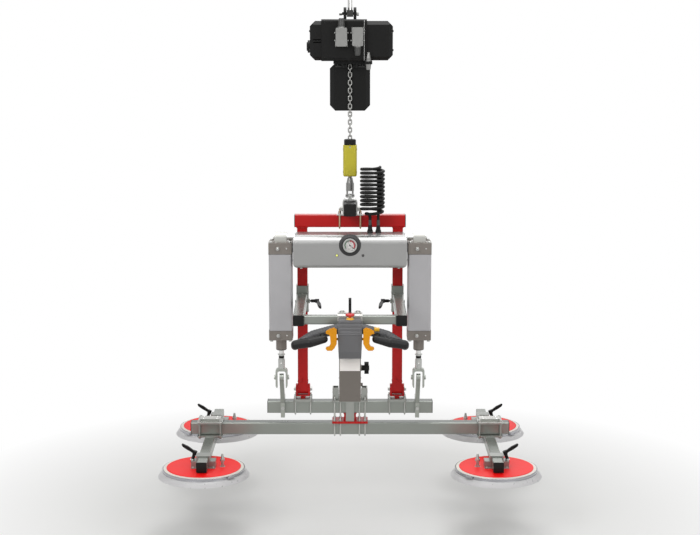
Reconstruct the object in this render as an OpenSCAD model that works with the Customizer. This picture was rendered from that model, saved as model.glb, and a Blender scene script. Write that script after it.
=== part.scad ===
// Glass panel lifter: an electric chain hoist carries a red frame with a vacuum
// pump housing and two tilt cylinders, and a beam with four suction pads below it.
// Millimetres. X is to the right, Y goes away from the operator, Z is up.
// Heights are written above the pads' sealing plane and the finished model hangs
// from the top of its suspension rod, which is the origin.

/* [Overall] */
// Height of the suspension rod's top above the pads' sealing plane
rod_top_z = 2255; // [2240:5:2300]
// Distance of each suction pad from the middle, sideways
pad_x = 700; // [660:10:720]
// Distance of each suction pad from the middle, front to back
pad_y = 385; // [340:5:400]
// Half the length of the main beam
beam_half = 795; // [785:5:900]
// Half the length of a pad arm
arm_half = 500; // [470:10:600]
// Distance of the frame's uprights from the middle
upright_x = 235; // [232:1:237]
// Distance of the tilt cylinders from the middle
cylinder_x = 335; // [334:1:344]

/* [Tubes] */
// Outside of the main beam and the lower crossbeam
beam_w = 60; // [58:1:62]
// Outside of the red frame's tubes
frame_w = 50; // [48:1:52]
// Outside of the frame's top crossbeam
top_w = 60; // [58:1:62]
// Outside of a pad arm
arm_w = 50; // [46:1:52]
// Outside of the handle carrier's arms
carrier_w = 50; // [46:1:52]
// Outside of the handle's cross tube
cross_w = 40; // [36:1:44]
// Wall of every tube
tube_wall = 4; // [3:0.5:5]
// Outside corner radius of every tube
tube_r = 5; // [5:0.5:7]

/* [Heights] */
// Underside of the main beam
beam_z = 102; // [100:1:104]
// Underside of the lower crossbeam
lower_z = 212; // [208:1:216]
// Height of the tilt axis
tilt_z = 331; // [331:1:336]
// Height of the middle of the cylinder shaft
shaft_z = 1117; // [1114:1:1119]
// Height of the pivot at the foot of each piston rod
eye_z = 425; // [420:1:430]
// Underside of the frame's top crossbeam
top_z = 1149; // [1146:1:1152]
// Middle height of the handle carrier's arms
carrier_z = 795; // [785:1:805]

/* [Suction pads] */
// Radius of the sealing lip
lip_r = 218; // [210:1:224]
// Radius of the pad's metal band
band_r = 196; // [190:1:200]
// Radius of the red cover disc
disc_r = 177; // [165:1:182]
// Height of the pad's upper face
pad_top = 42; // [40:1:43]

/* [Cylinders] */
// Width of a cylinder's square barrel
barrel_w = 114; // [112:1:116]
// Bore of the barrel
cylinder_bore = 100; // [90:1:102]
// Diameter of the piston rod
rod_d = 25; // [20:1:28]
// Diameter of the shaft that carries both cylinders
shaft_d = 25; // [20:1:30]
// Distance of the cylinders' axis in front of the uprights' middle
cylinder_y = 150; // [145:1:155]

/* [Load chain] */
// Wire of a chain link
chain_wire = 6.3; // [6:0.1:6.5]
// Pitch of the chain
chain_pitch = 19.1; // [19:0.1:19.8]
// Outside width of a chain link
chain_w = 21.5; // [21:0.1:22]
// Links in the modelled fall
chain_links = 26; // [24:1:27]

/* [Spiral cable] */
// Diameter of the cable
cable_d = 13; // [10:0.5:14]
// Radius of the main turns
coil_r = 54; // [52:0.5:58]
// Rise of each turn
coil_pitch = 19; // [18:0.5:21]

/* [Clearances] */
// Gap of a sliding fit
slide_gap = 0.3; // [0.2:0.05:0.5]
// Gap round a pin in its bore
pin_gap = 0.05; // [0.02:0.01:0.1]

/* [Hidden] */
$fn = 48;
LEFT = -1;
RIGHT = 1;
FRONT = -1;
REAR = 1;
red = "#A92426";
black = "#2B2A28";
grey = "#8C908A";
steel = "#B9BCBC";

// Tube levels
beam_top = beam_z + beam_w;
lower_top = lower_z + beam_w;
clamp_under = 6;
arm_top = beam_z - clamp_under;
arm_z = arm_top - arm_w/2;
top_beam_top = top_z + top_w;
lower_half = 410;
top_half = 270;

// Hoist
hoist_x0 = -137;
hoist_x1 = 81;
hoist_z0 = 1958;
hoist_z1 = 2156;
hoist_y0 = -95;
hoist_y1 = 115;
cover_z0 = 1961;
cover_z1 = 2148;
rod_r = 11;
eye_half = 15.5;
hanger_z = 2183;
hanger_r = 7;
well_x0 = -40;
well_x1 = 45;
sheave_y = 31;
container_y = 62;
container_z0 = 1716;
container_z1 = 1945;
container_half = 98;
chain_hole = 26;
fitting_x = 88;
fitting_y = -112;

// Block under the hoist
buffer_z0 = 1551;
buffer_z1 = 1579;
buffer_r = 29;
block_w = 67;
block_z0 = 1398;
chain_z0 = buffer_z0 - 4;
sheave_z = chain_z0 + 25*chain_pitch;
swivel_z = 1365;
collar_r = 19.5;
collar_z0 = 1326;
stem_r = 8;
fork_pin_z = 1302;

// Carriage on the frame
base_plate = 5;
strap_w = 73;
strap_t = 6.2;
strap_top = 1286;
balance_half = 120;
through_z = 1238;

// Pump housing
housing_half = 273;
housing_z0 = 978;
housing_z1 = 1134;
housing_y0 = -230;
housing_y1 = -80;
bracket_half = 20;
bracket_z0 = 1010;
bracket_z1 = 1090;
housing_wall = 3;
gauge_z = 1090;
gauge_r = 32;
gauge_collar_r = 43;
needle_y = housing_y0 - 11;

// Spiral cable route
cable_r = cable_d/2;
coil_x = 108;
coil_y = -130;
loop_r = 31;
inner_r = 36.4;
inner_angle = 37;
bend_r = 22;
gland_top = 1170;
stem_angle = 110;
bend_z = 1206;

// Cylinders
block_low_z0 = 620;
block_low_z1 = 667;
block_high_z0 = 1041;
block_high_z1 = 1096;
clevis_w = 60;
gland_len = 54;
piston_t = 40;
piston_top = 1020;
shackle_gap = 41;
shackle_w = 58;
shackle_z0 = 372;
shackle_z1 = 470;
lever_t = 20;

// Handle carrier
sleeve_wall = 4.7;
sleeve_w = frame_w + 2*(slide_gap + sleeve_wall);
sleeve_z0 = 728;
sleeve_z1 = 858;
sleeve_lever_z = 777;
carrier_x = upright_x + 1;
carrier_front = -600;
cross_y = -570;
head_clamp_half = 57;
head_clamp_wall = 8;
post_w = 100;
post_d = 60;
post_z0 = 415;
star_z = 568;
tiller_back = cross_y - post_d/2;
tiller_front = -668;

// Clamp levers
stud_r = 5;
lever_len = 66;
hub_r = 10;
pad_lever_tilt = 20;
saddle_half = 58;
saddle_top = 76;

// Rounded rectangle with true arcs
module rounded(w, h, r) {
    square([w - 2*r, h], center = true);
    square([w, h - 2*r], center = true);
    for (sx = [-1, 1], sy = [-1, 1])
        translate([sx*(w/2 - r), sy*(h/2 - r)]) circle(r);
}

// Square tube's section
module tube_section(w, wall = tube_wall) {
    difference() {
        rounded(w, w, tube_r);
        rounded(w - 2*wall, w - 2*wall, tube_r - wall + 1);
    }
}

// Extrusions along X and Y, centred, with the section's second axis up
module along_x(length) {
    rotate([90, 0, 90]) linear_extrude(length, center = true) children();
}

module along_y(length) {
    rotate([90, 0, 0]) linear_extrude(length, center = true) children();
}

// Box between two corners
module span(low, high) {
    translate(low) cube(high - low);
}

// Round bar along X from x0 to x1
module bar_x(x0, x1, r) {
    translate([x0, 0, 0]) rotate([0, 90, 0]) cylinder(h = x1 - x0, r = r);
}

// Round bar along Y from y0 to y1
module bar_y(y0, y1, r) {
    translate([0, y1, 0]) rotate([90, 0, 0]) cylinder(h = y1 - y0, r = r);
}

// Hexagon head or nut standing on z = 0
module hex(across, h) {
    cylinder(h = h, d = across/cos(30), $fn = 6);
}

// U-bolt round a beam: bottom run along Y at z = 0, legs up, a nut on each leg
module u_bolt(spread, leg, nut_z, d = 8, bend = 9) {
    rotate([90, 0, 0]) cylinder(h = spread - 2*bend, d = d, center = true);
    for (side = [0, 1]) mirror([0, side, 0]) {
        translate([0, spread/2, bend]) cylinder(h = leg - bend, d = d);
        translate([0, spread/2 - bend, bend]) rotate([0, 90, 0])
            rotate_extrude(angle = 90) translate([bend, 0]) circle(d = d);
        translate([0, spread/2, nut_z]) hex(13, 7);
    }
}

// End cap: a plate with soft edges and a ribbed plug, facing +Z from z = 0
module tube_cap(w, wall = tube_wall) {
    plug = w - 2*wall - 2*slide_gap;
    linear_extrude(3) rounded(w, w, tube_r);
    translate([0, 0, -14]) linear_extrude(14) rounded(plug, plug, 3);
}

// Clamp lever: stud below z = 0, stepped hub and a leaf shaped arm towards +X
module clamp_lever(stud = 14) {
    leaf = [[0, -9], [16, -6], [42, -8], [lever_len, -7], [lever_len + 9, -1],
        [lever_len + 6, 4], [42, 8], [16, 6], [0, 9]];
    color(black) {
        translate([0, 0, -stud]) cylinder(h = stud + 30, r = stud_r);
        translate([0, 0, 6]) cylinder(h = 22, r = hub_r - 2);
        translate([0, 0, 26]) cylinder(h = 20, r = hub_r);
        translate([0, 0, 37]) rotate([0, -14, 0]) along_y(13) polygon(leaf);
    }
}

// Bore for a clamp lever's stud
module stud_bore(depth) {
    translate([0, 0, -depth]) cylinder(h = depth + 2, r = stud_r + pin_gap);
}

// The whole model hangs from the top of the suspension rod
module hang() {
    translate([0, 0, -rod_top_z]) children();
}

// Hoist
module suspension_rod() {
    color(steel) difference() {
        union() {
            translate([0, 0, hanger_z + 17]) cylinder(h = rod_top_z - hanger_z - 17, r = rod_r);
            span([-eye_half, -eye_half, hanger_z - 16], [eye_half, eye_half, hanger_z + 17]);
        }
        translate([0, 0, hanger_z]) bar_x(-eye_half - 1, eye_half + 1, hanger_r + pin_gap);
    }
}

module hanger_lug() {
    lug_t = 14;
    difference() {
        along_x(lug_t) {
            square([44, hanger_z + 8 - hoist_z1], center = false);
            translate([22, hanger_z + 8 - hoist_z1]) circle(22);
        }
        translate([0, 22, hanger_z - hoist_z1]) bar_x(-lug_t, lug_t, hanger_r + pin_gap);
    }
}

module suspension_bracket() {
    lug_mid = eye_half + 1.5 + 7;
    color(black) {
        for (side = [-1, 1])
            translate([side*lug_mid, -22, hoist_z1]) hanger_lug();
        translate([0, 0, hanger_z]) bar_x(-38, 38, hanger_r);
    }
    color(steel) translate([0, 0, hanger_z]) {
        bar_x(-52, -38, 9);
        translate([31.5, 0, 0]) rotate([0, 90, 0]) difference() {
            hex(19, 11);
            translate([0, 0, -1]) cylinder(h = 13, r = hanger_r + pin_gap);
        }
    }
}

module hoist_housing() {
    mid_y = (hoist_y0 + hoist_y1)/2;
    depth = hoist_y1 - hoist_y0;
    height = hoist_z1 - hoist_z0;
    color(black) difference() {
        translate([(hoist_x0 + hoist_x1)/2, mid_y, (hoist_z0 + hoist_z1)/2])
            along_x(hoist_x1 - hoist_x0) rounded(depth, height, 12);
        // Wheel well over the two chain falls
        span([well_x0, -38, hoist_z0 + 14], [well_x1, 88, hoist_z1 - 8]);
        span([-chain_hole/2, -chain_hole/2, hoist_z0 - 1],
             [chain_hole/2, chain_hole/2, hoist_z0 + 15]);
        span([-chain_hole/2, container_y - chain_hole/2, hoist_z0 - 1],
             [chain_hole/2, container_y + chain_hole/2, hoist_z0 + 15]);
        // Shaft seat of the load sheave
        translate([0, sheave_y, sheave_z]) bar_x(well_x0 - 10, well_x1 + 10, 8 + pin_gap);
        // Parting groove
        span([hoist_x1 - 14, hoist_y0 - 1, hoist_z0 - 1], [hoist_x1 - 12, hoist_y0 + 2, hoist_z1 + 1]);
        // Groove of the front cover
        span([hoist_x0 + 20, hoist_y0 - 1, hoist_z0 + 12], [hoist_x1 - 26, hoist_y0 + 1.5, hoist_z0 + 14]);
    }
}

// One end section: a chamfered block with its hollow inside
module end_section(length, chamfer) {
    height = cover_z1 - cover_z0;
    depth = hoist_y1 - hoist_y0 - 12;
    intersection() {
        // Front outline: chamfered at the outer corners
        along_y(depth) polygon([[0, 0], [length - chamfer, 0], [length, chamfer],
            [length, height - chamfer], [length - chamfer, height], [0, height]]);
        // Side outline: chamfered at all four corners
        translate([length/2, 0, 0]) along_x(length) polygon([
            [-depth/2 + 18, 0], [depth/2 - 18, 0], [depth/2, 18], [depth/2, height - 18],
            [depth/2 - 18, height], [-depth/2 + 18, height], [-depth/2, height - 18],
            [-depth/2, 18]]);
        // Plan outline: chamfered at the outer edges
        linear_extrude(height) polygon([[0, -depth/2], [length - 18, -depth/2],
            [length, -depth/2 + 18], [length, depth/2 - 18], [length - 18, depth/2],
            [0, depth/2]]);
    }
}

module end_covers() {
    mid_y = (hoist_y0 + hoist_y1)/2;
    left_len = 55;
    right_len = 124;
    color(black) {
        difference() {
            translate([hoist_x0, mid_y, cover_z0]) mirror([1, 0, 0]) end_section(left_len, 25);
            // Two cooling slots and the hollow behind them
            for (k = [0, 1])
                span([hoist_x0 - 40, hoist_y0, 2056 - 12*k], [hoist_x0 + 1, hoist_y0 + 22, 2061 - 12*k]);
            span([hoist_x0 - 36, hoist_y0 + 20, cover_z0 + 22], [hoist_x0 + 1, hoist_y1 - 20, cover_z1 - 22]);
        }
        difference() {
            translate([hoist_x1, mid_y, cover_z0]) end_section(right_len, 25);
            span([hoist_x1 - 1, hoist_y0 + 18, cover_z0 + 22], [hoist_x1 + 105, hoist_y1 - 18, cover_z1 - 22]);
        }
        // Round brake cap on the left end
        translate([hoist_x0 - left_len, 0, 2026]) rotate([0, -90, 0]) {
            cylinder(h = 9, r = 28);
            translate([0, 0, 9]) cylinder(h = 8, r1 = 24, r2 = 20);
            for (a = [0:60:300]) rotate([0, 0, a]) translate([26, 0, 0]) cylinder(h = 12, r = 4);
        }
    }
}

// Plug hood standing off the housing's front, cable gland along +Z
module plug_hood(w, h) {
    depth = 44;
    difference() {
        translate([0, -depth/2, h/2]) along_y(depth) rounded(w, h, 7);
        for (z = [0.3, 0.7]) for (side = [-1, 1])
            translate([side*(w/2 - 2), 0, h*z]) bar_y(-depth - 1, -depth + 2, 2.5);
    }
    translate([0, -depth/2, h]) {
        cylinder(h = 5, r = 16);
        translate([0, 0, 5]) hex(28, 12);
        translate([0, 0, 17]) cylinder(h = 28, r1 = 13, r2 = 11);
    }
}

module plug_connectors() {
    color("#8F8F8C") {
        translate([-41, hoist_y0 - 6, 2028]) plug_hood(54, 88);
        translate([36.5, hoist_y0 - 6, 2118]) mirror([0, 0, 1]) plug_hood(52, 88);
    }
    // Panel frame behind each hood, with its screws
    color(black) for (x = [-41, 36.5]) {
        span([x - 29, hoist_y0 - 6, 2046], [x + 29, hoist_y0, 2102]);
        for (side = [-1, 1], z = [2056, 2092])
            translate([x + side*31, 0, z]) bar_y(hoist_y0 - 5, hoist_y0, 3);
    }
}

module chain_guide() {
    color(black) {
        difference() {
            union() {
                span([-80, -46, hoist_z0 - 14], [fitting_x + 18, container_y + 48, hoist_z0]);
                span([fitting_x - 18, fitting_y - 16, hoist_z0 - 14], [fitting_x + 18, -45, hoist_z0]);
                difference() {
                    translate([0, 0, hoist_z0 - 34]) cylinder(h = 20, r = 40);
                    span([-50, container_y - 48 - slide_gap, hoist_z0 - 40], [50, 60, hoist_z0]);
                }
            }
            span([-chain_hole/2, -chain_hole/2, hoist_z0 - 35],
                 [chain_hole/2, chain_hole/2, hoist_z0 + 1]);
            span([-chain_hole/2, container_y - chain_hole/2, hoist_z0 - 35],
                 [chain_hole/2, container_y + chain_hole/2, hoist_z0 + 1]);
            // The ring is open to the front, over the chain
            span([-chain_hole/2, -50, hoist_z0 - 35], [chain_hole/2, 0, hoist_z0 - 14]);
            translate([fitting_x, fitting_y, hoist_z0 - 15]) cylinder(h = 16, r = 8.3);
        }
    }
    // Limit switch fitting clamped in the guide plate's arm
    color(steel) translate([fitting_x, fitting_y, hoist_z0 - 16]) {
        translate([0, 0, -24]) cylinder(h = 26, r1 = 10, r2 = 13);
        cylinder(h = 20, r = 8);
    }
    color(steel) translate([fitting_x, fitting_y, 0]) {
        translate([0, 0, hoist_z0]) cylinder(h = 4, r = 14);
        translate([0, 0, hoist_z0 + 4]) hex(22, 12);
        translate([0, 0, hoist_z0 + 16]) cylinder(h = 26, r1 = 11, r2 = 6);
    }
}

module container_outline(cut) {
    height = container_z1 - container_z0;
    w = container_half;
    polygon([[-w + cut, 0], [w - cut, 0], [w, cut], [w, height - cut], [w - cut, height],
        [-w + cut, height], [-w, height - cut], [-w, cut]]);
}

module chain_container() {
    height = container_z1 - container_z0;
    depth = 96;
    wall = 4;
    end_cut = 26;
    difference() {
        color(black) translate([0, container_y, container_z0]) intersection() {
            along_y(depth) container_outline(end_cut);
            linear_extrude(height - 1) difference() {
                square([2*container_half, depth], center = true);
                for (sx = [-1, 1], sy = [-1, 1]) translate([sx*container_half, sy*depth/2])
                    rotate(45) square(20*1.414, center = true);
            }
        }
        // Room for the slack chain, open at the top
        translate([0, container_y, container_z0 + wall + end_cut])
            linear_extrude(height) square([2*(container_half - end_cut), depth - 24], center = true);
    }
    // Hanger ears up to the guide plate, on the front and back walls
    color(black) for (side = [-1, 1], y = [-1, 1])
        span([side*60 - 10, container_y + y*42 - 4, container_z1 - 20],
             [side*60 + 10, container_y + y*42 + 4, hoist_z0 - 14]);
}

// Outline of the sheave's output gear
module gear_outline() {
    teeth = 24;
    flanks = [[-4.5, 27], [-2.4, 31], [2.4, 31], [4.5, 27]];
    polygon([for (k = [0:teeth - 1], f = flanks)
        let (a = 360*k/teeth + f[0]) [f[1]*cos(a), f[1]*sin(a)]]);
}

module load_sheave() {
    flange_x = chain_w/2 + 0.5;
    color(steel) translate([0, sheave_y, sheave_z]) {
        bar_x(well_x0 - 9, well_x1 + 9, 8);
        bar_x(-flange_x - 5, flange_x + 5, sheave_y - chain_w/2 - slide_gap);
        for (side = [-1, 1])
            translate([side*(flange_x + 2.5), 0, 0]) bar_x(-2.5, 2.5, 36);
        translate([flange_x + 11, 0, 0]) along_x(12) gear_outline();
    }
}

// One link standing in the XZ plane
module chain_link() {
    bend = (chain_w - chain_wire)/2;
    straight = chain_pitch + 0.2 + chain_wire - 2*bend;
    for (side = [-1, 1])
        translate([side*bend, 0, -straight/2]) cylinder(h = straight, d = chain_wire, $fn = 32);
    for (end = [0, 1]) mirror([0, 0, end]) translate([0, 0, straight/2])
        rotate([90, 0, 0]) rotate_extrude(angle = 180, $fn = 32)
            translate([bend, 0]) circle(d = chain_wire);
}

module load_chain() {
    color(steel) for (k = [0:chain_links - 1])
        translate([0, 0, chain_z0 + chain_pitch*k]) rotate([0, 0, 90*(k % 2)]) chain_link();
}

module buffer_cap() {
    color(black) translate([0, 0, buffer_z0]) difference() {
        rotate_extrude() {
            polygon([[0, 0], [buffer_r, 0], [buffer_r, buffer_z1 - buffer_z0 - 6],
                [buffer_r - 6, buffer_z1 - buffer_z0 - 6], [buffer_r - 6, buffer_z1 - buffer_z0],
                [0, buffer_z1 - buffer_z0]]);
            translate([buffer_r - 6, buffer_z1 - buffer_z0 - 6]) circle(6);
        }
        translate([0, 0, -1]) cylinder(h = 40, r = chain_w/2 + 1.2);
    }
}

module hook_block() {
    height = buffer_z0 - block_z0;
    pin_z = chain_z0 - chain_pitch/2 + 4.2;
    color("#B8AE2A") translate([0, 0, block_z0]) difference() {
        intersection() {
            linear_extrude(height) rounded(block_w, block_w, 12);
            translate([0, 0, height/2 + 10]) along_y(block_w) rounded(block_w, height + 20, 10);
            translate([0, 0, height/2 + 10]) along_x(block_w) rounded(block_w, height + 20, 10);
        }
        // Chain pocket, shank bore and the room of the thrust bearing
        translate([0, 0, height - 32]) cylinder(h = 40, r = chain_w/2 + 1.2);
        translate([0, 0, -1]) cylinder(h = 50, r = 9.5);
        translate([0, 0, 40]) cylinder(h = 26, r = 24);
        translate([0, 0, pin_z - block_z0]) bar_y(-block_w, block_w, 4);
    }
    color(steel) translate([0, 0, pin_z]) bar_y(-block_w/2 + 4, block_w/2 - 4, 4);
}

module swivel_shank() {
    color(steel) {
        translate([0, 0, swivel_z + 25]) cylinder(h = 60, r = 9.5 - pin_gap);
        // Nut over the thrust bearing
        translate([0, 0, block_z0 + 40 + 0.3]) difference() {
            cylinder(h = 10, r = 23);
            translate([0, 0, -1]) cylinder(h = 12, r = 9.5);
        }
        translate([0, 0, block_z0 + 50.6]) hex(34, 12);
        // Cone below the block
        translate([0, 0, swivel_z]) cylinder(h = 25, r1 = 17, r2 = 12);
        // Stem and its head inside the fork's collar
        translate([0, 0, swivel_z - 16]) cylinder(h = 16, r = stem_r);
        translate([0, 0, swivel_z - 26]) cylinder(h = 11, r = 12);
    }
}

module swivel_fork() {
    color(steel) {
        difference() {
            union() {
                translate([0, 0, collar_z0]) cylinder(h = swivel_z - slide_gap - collar_z0, r = collar_r);
                for (side = [0, 1]) mirror([side, 0, 0])
                    rotate([90, 0, 0]) linear_extrude(24, center = true)
                        polygon([[9, collar_z0 + 1], [18, collar_z0 + 1], [17, fork_pin_z - 10],
                            [11, fork_pin_z - 10], [9.5, fork_pin_z + 14]]);
            }
            translate([0, 0, swivel_z - 14]) cylinder(h = 20, r = stem_r + pin_gap);
            translate([0, 0, swivel_z - 28]) cylinder(h = 14, r = 12 + slide_gap);
            translate([0, 0, fork_pin_z]) bar_x(-20, 20, 5);
        }
        translate([0, 0, fork_pin_z]) {
            bar_x(-19, 19, 5);
            bar_x(-22, -19, 8);
            bar_x(19, 22, 7);
        }
    }
}

module carriage() {
    deep = 50;
    inner = strap_w - 2*strap_t;
    foot_z = top_beam_top + base_plate;
    color(steel) {
        // Eye on the strap
        difference() {
            union() {
                translate([0, 0, strap_top - 2]) along_y(20) square([17, 4], center = true);
                span([-8.5, -10, strap_top - 1], [8.5, 10, fork_pin_z]);
                translate([0, 0, fork_pin_z]) bar_x(-8.5, 8.5, 10);
            }
            translate([0, 0, fork_pin_z]) bar_x(-20, 20, 5 + pin_gap);
        }
        // Bent strap
        difference() {
            along_y(deep) difference() {
                translate([0, (foot_z + strap_top)/2 - 20])
                    rounded(strap_w, strap_top - foot_z + 40, 18);
                translate([0, (foot_z + strap_top)/2 - 20 - strap_t])
                    rounded(inner, strap_top - foot_z + 40, 12);
                translate([-strap_w, foot_z - 60]) square([2*strap_w, 60]);
            }
            translate([0, 0, through_z]) bar_x(-60, 60, 6.2);
        }
        // Base plate on the crossbeam
        difference() {
            span([-64, -42, top_beam_top], [64, 42, foot_z]);
            for (x = [-51, 51], y = [-1, 1])
                translate([x, y*(top_w/2 + 4.6), top_beam_top - 1]) cylinder(h = 20, r = 4.3);
        }
        // Through bolt with nuts and washers
        translate([0, 0, through_z]) {
            bar_x(-54, 54, 6);
            for (side = [0, 1]) mirror([side, 0, 0]) translate([strap_w/2, 0, 0]) rotate([0, 90, 0]) {
                cylinder(h = 3, r = 15);
                translate([0, 0, 3]) hex(22, 10);
            }
        }
        for (x = [-51, 51]) translate([x, 0, top_z - 4.2])
            u_bolt(top_w + 9.2, top_w + base_plate + 22, top_w + base_plate + 4.2);
    }
}

module balance_tube() {
    color(black) difference() {
        translate([0, 0, top_beam_top + base_plate + beam_w/2]) along_y(2*balance_half) tube_section(beam_w);
        translate([0, 0, through_z]) bar_x(-60, 60, 6.2);
    }
}

module cable_gland(x, y) {
    translate([x, y, housing_z1]) {
        cylinder(h = 3, r = 14);
        translate([0, 0, 3]) hex(24, 8);
        translate([0, 0, 11]) cylinder(h = gland_top - housing_z1 - 11, r1 = 12, r2 = 8.5);
    }
}

module frame_caps() {
    color(black) {
        for (side = [0, 1]) {
            mirror([side, 0, 0]) translate([top_half, 0, top_z + top_w/2])
                rotate([0, 90, 0]) tube_cap(top_w);
            mirror([0, side, 0]) translate([0, -balance_half, top_beam_top + base_plate + beam_w/2])
                rotate([90, 0, 0]) tube_cap(beam_w);
        }
        cable_gland(stem_x, stem_y);
        cable_gland(inner_x, inner_y);
    }
}

module red_frame() {
    color(red) {
        translate([0, 0, top_z + top_w/2]) along_x(2*top_half) tube_section(top_w);
        for (side = [-1, 1]) translate([side*upright_x, 0, 0]) {
            // Tube, then the solid foot that turns in the tilt bracket
            difference() {
                translate([0, 0, tilt_z + 40]) linear_extrude(top_z - tilt_z - 40) tube_section(frame_w);
                translate([0, 0, tilt_z + 53]) bar_y(-frame_w, 0, 3);
            }
            difference() {
                union() {
                    span([-frame_w/2, -frame_w/2, tilt_z], [frame_w/2, frame_w/2, tilt_z + 40]);
                    translate([0, 0, tilt_z]) bar_x(-frame_w/2, frame_w/2, frame_w/2);
                }
                translate([0, 0, tilt_z]) bar_x(-frame_w, frame_w, 6 + pin_gap);
            }
            // Bracket that carries the pump housing
            span([-bracket_half, housing_y1, bracket_z0], [bracket_half, -frame_w/2, bracket_z1]);
        }
    }
}

// Housing block with its big top front radius, smaller by inset all round
module housing_block(inset) {
    half = housing_half - inset;
    z0 = housing_z0 + inset;
    z1 = housing_z1 - inset;
    y0 = housing_y0 + inset;
    y1 = housing_y1 - inset;
    top_r = 46 - inset;
    low_r = 16 - inset;
    intersection() {
        along_x(2*half) {
            translate([y0 + top_r, z1 - top_r]) circle(top_r);
            translate([y0 + low_r, z0 + low_r]) circle(low_r);
            translate([y0 + top_r, z0]) square([y1 - y0 - top_r, z1 - z0]);
            translate([y0, z0 + low_r]) square([top_r, z1 - z0 - low_r - top_r]);
            translate([y0 + low_r, z0]) square([top_r, low_r + 4]);
        }
        translate([0, (y0 + y1)/2, (z0 + z1)/2]) along_y(y1 - y0) rounded(2*half, z1 - z0, 24 - inset);
    }
}

module pump_housing() {
    color("#8E8E8C") {
        difference() {
            housing_block(0);
            housing_block(housing_wall);
            translate([0, 0, gauge_z]) bar_y(housing_y0 - 1, housing_y0 + 60, gauge_collar_r + slide_gap);
            translate([0, -cylinder_y, shaft_z]) bar_x(-300, 300, shaft_d/2 + pin_gap);
        }
        // Screws under the floor
        for (side = [-1, 1]) translate([side*upright_x, housing_y0 + 60, housing_z0 - 6])
            cylinder(h = 6, r = 8);
    }
    // Pump with its motor, and the battery, on the housing's floor
    color("#4A4A4C") {
        translate([-120, -140, housing_z0 + housing_wall]) linear_extrude(70) rounded(110, 90, 8);
        translate([-64, -140, housing_z0 + 42]) bar_x(0, 90, 32);
        span([-40, -165, housing_z0 + housing_wall], [20, -115, housing_z0 + 11]);
        translate([170, -140, housing_z0 + housing_wall]) linear_extrude(75) rounded(150, 100, 6);
    }
}

module vacuum_gauge() {
    color("#3A3A3A") translate([0, 0, gauge_z]) {
        difference() {
            union() {
                bar_y(housing_y0 - 6, housing_y0 + 22, gauge_collar_r);
                // Plate behind the housing's front wall
                span([-gauge_collar_r - 6, housing_y0 + housing_wall, -40],
                     [gauge_collar_r + 6, housing_y0 + housing_wall + 4, -4]);
            }
            bar_y(housing_y0 - 7, housing_y0 + 23, gauge_r + slide_gap);
        }
    }
    color(steel) translate([0, 0, gauge_z]) difference() {
        union() {
            bar_y(housing_y0 - 16, housing_y0 + 30, gauge_r);
            bar_y(housing_y0 - 16, housing_y0 - 6.3, gauge_r + 2);
        }
        bar_y(housing_y0 - 13, housing_y0 - 8, gauge_r - 3);
        bar_y(housing_y0 - 17, housing_y0 - 12.5, gauge_r - 5);
    }
    // Glass and needle post
    color([0.8, 0.9, 0.95, 0.4]) translate([0, 0, gauge_z])
        bar_y(housing_y0 - 15, housing_y0 - 13.3, gauge_r - 5.3);
    color(black) translate([0, 0, gauge_z]) bar_y(housing_y0 - 9.9, housing_y0 - 8, 4);
    // Signal lamps either side
    for (x = [-63, 62]) color("#A8B060") translate([x, 0, 1040]) {
        bar_y(housing_y0 - 3, housing_y0, 4.5);
    }
}

module gauge_needle() {
    color(black) translate([0, needle_y, gauge_z]) rotate([0, 45, 0])
        rotate([90, 0, 0]) {
            linear_extrude(0.8, center = true)
                polygon([[-7, -1.6], [-7, 1.6], [21, 0.4], [21, -0.4]]);
            translate([0, 0, -0.8]) cylinder(h = 1.6, r = 3.5);
        }
}

// Route of the spiral cable, by pieces that share their ends
function on_coil(r, a, z) = [coil_x + r*cos(a), coil_y + r*sin(a), z];
function ease(t) = t*t*(3 - 2*t);
degrees_of = 180/PI;
bend_end = 84;
loop_a0 = stem_angle + bend_r*(1 - cos(bend_end))/loop_r*degrees_of;
loop_z0 = bend_z + bend_r*sin(bend_end);
grow_a0 = 270;
grow_a1 = 400;
grow_z0 = loop_z0 + 3;
rise = 0.08;
coil_a0 = 630;
coil_z0 = grow_z0 + rise*(coil_a0 - grow_a0);
down_a1 = inner_angle + 360*12;
down_a0 = down_a1 - bend_r/inner_r*degrees_of;
shrink_a0 = down_a0 - 200;
function coil_z(a) = coil_z0 + coil_pitch*(a - coil_a0)/360;
top_of_coil = coil_z(down_a0);
stem_x = coil_x + loop_r*cos(stem_angle);
stem_y = coil_y + loop_r*sin(stem_angle);
inner_x = coil_x + inner_r*cos(inner_angle);
inner_y = coil_y + inner_r*sin(inner_angle);
step = 15;
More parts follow.
